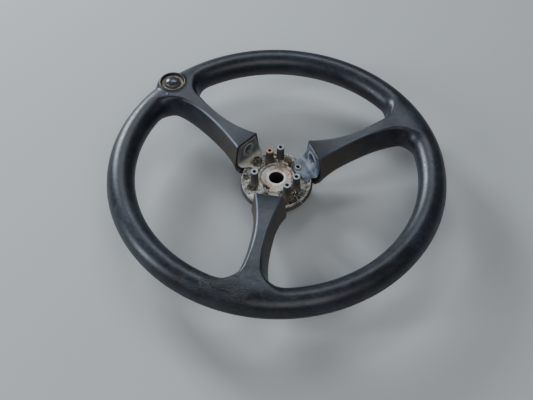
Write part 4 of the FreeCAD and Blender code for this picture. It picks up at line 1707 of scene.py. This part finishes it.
@dataclass
class Grime:
    """Dry dirt, crumbs and straw that have caked round the posts and on the plate.

    Lumps are (reach, direction, size, rise); heaps of crumbs are (reach, direction, spread, rise,
    number); straw is (reach, direction, spread, number). Lengths in mm.
    """

    seed: int = 7
    tongue_from: float = 25.5
    tongue_half: float = 8.0
    sheet_from: float = 29.5
    sheet_half: float = 15.5
    sink: float = 0.3
    inner_edge: float = 19.6
    outer_edge: float = PLATE - 2.6
    straw_steps: int = 9
    straw_step: float = 1.25
    lumps: tuple[tuple[float, float, float, float], ...] = (
        (31.5, 322, 4.2, 3.2), (34.5, 312, 3.4, 2.6), (30.0, 330, 3.4, 2.8), (36.0, 300, 3.0, 2.2),
        (33.5, 211, 3.8, 2.2), (30.5, 216, 3.2, 2.0), (24.5, 172, 3.0, 2.0), (26.0, 160, 2.8, 1.8),
        (31.0, 104, 3.6, 3.0), (33.5, 96, 3.2, 3.2), (27.0, 103, 3.0, 3.0), (23.5, 84, 2.8, 4.4),
        (32.0, 240, 3.0, 1.8), (29.0, 254, 2.8, 1.6), (37.0, 138, 3.6, 1.0), (32.0, 151, 3.2, 0.9),
    )
    heaps: tuple[tuple[float, float, float, float, int], ...] = (
        (32, 318, 7.5, 3.4, 190), (29, 340, 6.0, 2.6, 90), (30, 205, 6.5, 2.6, 120),
        (29, 105, 7.0, 3.2, 120), (25.5, 82, 7.0, 9.5, 300), (34, 143, 9.0, 0.9, 260),
        (33, 245, 7.0, 1.2, 80), (38, 185, 5.0, 0.8, 60),
    )
    straws: tuple[tuple[float, float, float, int], ...] = (
        (25.0, 84, 6.5, 80), (36, 316, 5.0, 18), (31, 207, 4.5, 10), (24, 72, 4.0, 14),
    )

    def build(self) -> None:
        """Make the lumps and crumbs as one piece, and the straw as another."""
        item = join([self.caked(), self.crumbs()])
        smooth(item, 70)
        hand_over(item, "caked_grime", Finish.GRIME, WHEEL)
        straw = self.straw()
        smooth(straw, 70)
        hand_over(straw, "loose_straw", Finish.STRAW, WHEEL)

    def deck_at(self, place: Vector) -> float:
        """Height of what lies under a place: an arm's tongue or the plate.

        Args:
            place: The place, mm.

        Returns:
            The height, mm.
        """
        for side in Side:
            local = Matrix.Rotation(math.radians(-side.value), 3, "Z") @ place
            on_sheet = side is Side.RIGHT and local.x > self.sheet_from
            wide = self.sheet_half if on_sheet else self.tongue_half
            if local.x > self.tongue_from and abs(local.y) < wide:
                return DECK - self.sink
        return PLATE_TOP

    def caked(self) -> bpy.types.Object:
        """Stamp the lumps from one ball, each squashed and roughened by noise.

        Returns:
            The lumps as one object.
        """
        settle()
        bpy.ops.mesh.primitive_ico_sphere_add(subdivisions=4, radius=1)
        ball = bpy.context.object
        made = []
        for reach, direction, size, rise in self.lumps:
            lump = stamp(ball, AXIS)
            place = polar(reach, direction)
            place.z = self.deck_at(place)
            for vertex in lump.data.vertices:
                shape = vertex.co.copy()
                spot = shape * 1.7 + place * 0.37
                rough = 1 + 0.45 * noise.noise(spot) + 0.28 * noise.noise(spot * 3.1)
                rough += 0.12 * noise.noise(spot * 7.3)
                shape *= rough
                vertex.co = (place + Vector((shape.x * size, shape.y * size, shape.z * rise))) * MM
            made.append(lump)
        bpy.data.objects.remove(ball)
        return join(made)

    def crumbs(self) -> bpy.types.Object:
        """Heap up small angular crumbs, twenty faces each.

        Returns:
            The crumbs as one object.
        """
        chance = random.Random(self.seed)
        settle()
        bpy.ops.mesh.primitive_ico_sphere_add(subdivisions=1, radius=1)
        crumb = bpy.context.object
        corners = [vertex.co.copy() for vertex in crumb.data.vertices]
        sides = [tuple(face.vertices) for face in crumb.data.polygons]
        bpy.data.objects.remove(crumb)
        points, faces = [], []
        for reach, direction, spread, rise, number in self.heaps:
            centre = polar(reach, direction)
            for _ in range(number):
                away = spread * math.sqrt(chance.random())
                heading = chance.uniform(0, math.tau)
                place = centre + Vector((math.cos(heading), math.sin(heading), 0)) * away
                if not self.inner_edge < place.length < self.outer_edge:
                    continue
                heap = rise * (1 - (away / spread) ** 2)
                place.z = self.deck_at(place) + heap * chance.random() + 0.2
                size = chance.uniform(0.25, 0.95)
                shape = Matrix.Rotation(chance.uniform(0, math.tau), 3, "Z")
                stretch = Vector((size * chance.uniform(0.8, 1.9), size,
                                  size * chance.uniform(0.5, 1)))
                first = len(points)
                points += [(place + shape @ (corner * stretch * chance.uniform(0.75, 1.15))) * MM
                           for corner in corners]
                faces += [tuple(first + index for index in side) for side in sides]
        return self.mesh_object("crumbs", points, faces)

    def straw(self) -> bpy.types.Object:
        """Scatter bent straws and fibres, each a thin four-sided tube.

        Returns:
            The straws as one object.
        """
        chance = random.Random(self.seed + 1)
        points, faces = [], []
        for reach, direction, spread, number in self.straws:
            centre = polar(reach, direction)
            for _ in range(number):
                heading = chance.uniform(0, math.tau)
                spot = centre + Vector((chance.uniform(-1, 1), chance.uniform(-1, 1), 0)) * spread
                spot.z = PLATE_TOP + chance.uniform(3.0, 11.5)
                radius, steps = chance.uniform(0.18, 0.42), self.straw_steps
                bend, dip = chance.uniform(-16, 16), chance.uniform(-0.35, 0.15)
                first = len(points)
                for _ in range(steps):
                    along = Vector((math.cos(heading), math.sin(heading), dip))
                    side = UP.cross(along).normalized()
                    lift = along.cross(side).normalized()
                    points += [(spot + side * radius * x + lift * radius * y) * MM
                               for x, y in ((1, 0), (0, 1), (-1, 0), (0, -1))]
                    spot = spot + along * self.straw_step
                    spot.z = max(spot.z, PLATE_TOP + 0.4)
                    heading += math.radians(bend)
                for step in range(steps - 1):
                    base = first + step * 4
                    faces += [(base + i, base + (i + 1) % 4, base + 4 + (i + 1) % 4, base + 4 + i)
                              for i in range(4)]
                last = first + (steps - 1) * 4
                faces += [(first + 3, first + 2, first + 1, first), tuple(range(last, last + 4))]
        return self.mesh_object("straw", points, faces)

    @staticmethod
    def mesh_object(name: str, points: list, faces: list) -> bpy.types.Object:
        """Make an object from points and faces made in code, with its normals outwards.

        Args:
            name: Name of the new object.
            points: Corners, in metres.
            faces: Each face's corners, by number.

        Returns:
            The object.
        """
        mesh = bpy.data.meshes.new(name)
        mesh.from_pydata(points, [], faces)
        item = bpy.data.objects.new(name, mesh)
        bpy.context.scene.collection.objects.link(item)
        with editing(item):
            bpy.ops.mesh.select_all(action="SELECT")
            bpy.ops.mesh.normals_make_consistent(inside=False)
        return item


# ---------------------------------------------------------------- studio


@dataclass
class Studio:
    """Floor, soft lights and the camera."""

    distance: float = 949.14
    elevation: float = 50.314
    azimuth: float = 9.0
    look_x: float = -10.78
    look_y: float = -47.0
    roll: float = 0.352
    lens: float = 54.03

    def floor(self) -> None:
        """A pale floor under the hub."""
        settle()
        bpy.ops.mesh.primitive_grid_add(x_subdivisions=8, y_subdivisions=8, size=12,
                                        location=(0, 0, -0.0004))
        floor = settle_place(bpy.context.object)
        floor.name = "studio_floor"
        dress(floor, Finish.FLOOR)

    def light(self, name: str, place: Vector, size: tuple[float, float], power: float,
              tone: Colour) -> None:
        """One soft area light that looks at the wheel.

        Args:
            name: Its name.
            place: Where it stands, in metres.
            size: Its width and height, in metres.
            power: Its power, in watts.
            tone: Its colour.
        """
        data = bpy.data.lights.new(name, "AREA")
        data.shape = "RECTANGLE"
        data.size, data.size_y = size
        data.energy = power
        data.color = tone
        item = bpy.data.objects.new(name, data)
        item.location = place
        sight = Vector((0, 0, PLANE * MM)) - place
        item.rotation_euler = sight.to_track_quat("-Z", "Y").to_euler()
        bpy.context.scene.collection.objects.link(item)

    def camera(self) -> None:
        """The camera, on the line of sight that looks down over the lower spoke."""
        turn = Matrix.Rotation(math.radians(self.azimuth), 3, "Z")
        rise = math.radians(self.elevation)
        back = Vector((0, -math.cos(rise), math.sin(rise)))
        lift = Vector((0, 0, PLANE))
        eye = turn @ (back * self.distance) + lift
        aim = turn @ Vector((self.look_x, self.look_y, 0)) + lift
        sight = (aim - eye).normalized()
        data = bpy.data.cameras.new("camera")
        data.lens = self.lens
        data.sensor_width = 36
        item = bpy.data.objects.new("camera", data)
        item.location = eye * MM
        level = sight.to_track_quat("-Z", "Y").to_matrix()
        item.rotation_euler = (level @ Matrix.Rotation(math.radians(self.roll), 3, "Z")).to_euler()
        bpy.context.scene.collection.objects.link(item)
        bpy.context.scene.camera = item

    def world(self) -> None:
        """A dim, even sky."""
        world = bpy.data.worlds.new("studio_world")
        world.use_nodes = True
        sky = world.node_tree.nodes["Background"]
        sky.inputs[0].default_value = (0.80, 0.88, 1.0, 1)
        sky.inputs[1].default_value = 0.17
        bpy.context.scene.world = world

    def build(self) -> None:
        """Set the studio up."""
        self.camera()
        self.floor()
        self.world()
        self.light("key", Vector((-1.45, 1.25, 0.85)), (0.6, 0.42), 38, (0.80, 0.90, 1.0))
        self.light("overhead", Vector((-0.25, 1.35, 1.75)), (1.1, 0.6), 11, (0.82, 0.91, 1.0))
        self.light("left_strip", Vector((-1.75, -0.7, 0.9)), (0.30, 0.9), 18, (0.80, 0.90, 1.0))
        self.light("fill", Vector((0.6, -1.35, 1.8)), (1.8, 1.2), 17, (0.94, 0.97, 1.0))


def dress_hidden() -> None:
    """Give the frame's own hidden core ring its finish."""
    dress(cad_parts["rim_core"], Finish.CORE)


def main() -> None:
    """Build every sub-assembly in order."""
    logging.basicConfig(level=logging.INFO, format="%(relativeCreated)6d %(name)s: %(message)s")
    Studio().build()
    MouldedRim().build()
    Arm(Side.RIGHT, Finish.ARM_GREY, sheet=17.0, dish_low=35.5, dish_top=53.0, dish_wide=8.8,
        dish_depth=3.6, dish_shade=0.92).build()
    Arm(Side.LEFT, Finish.ARM_DARK).build()
    Arm(Side.LOWER, Finish.ARM_DARK).build()
    Welds().build()
    HubCasting().build()
    HubInsert().build()
    PadPosts().build()
    LeadEyelet().build()
    HornContact().build()
    KnobGroup().build()
    Grime().build()
    dress_hidden()


if __name__ == "__main__":
    main()
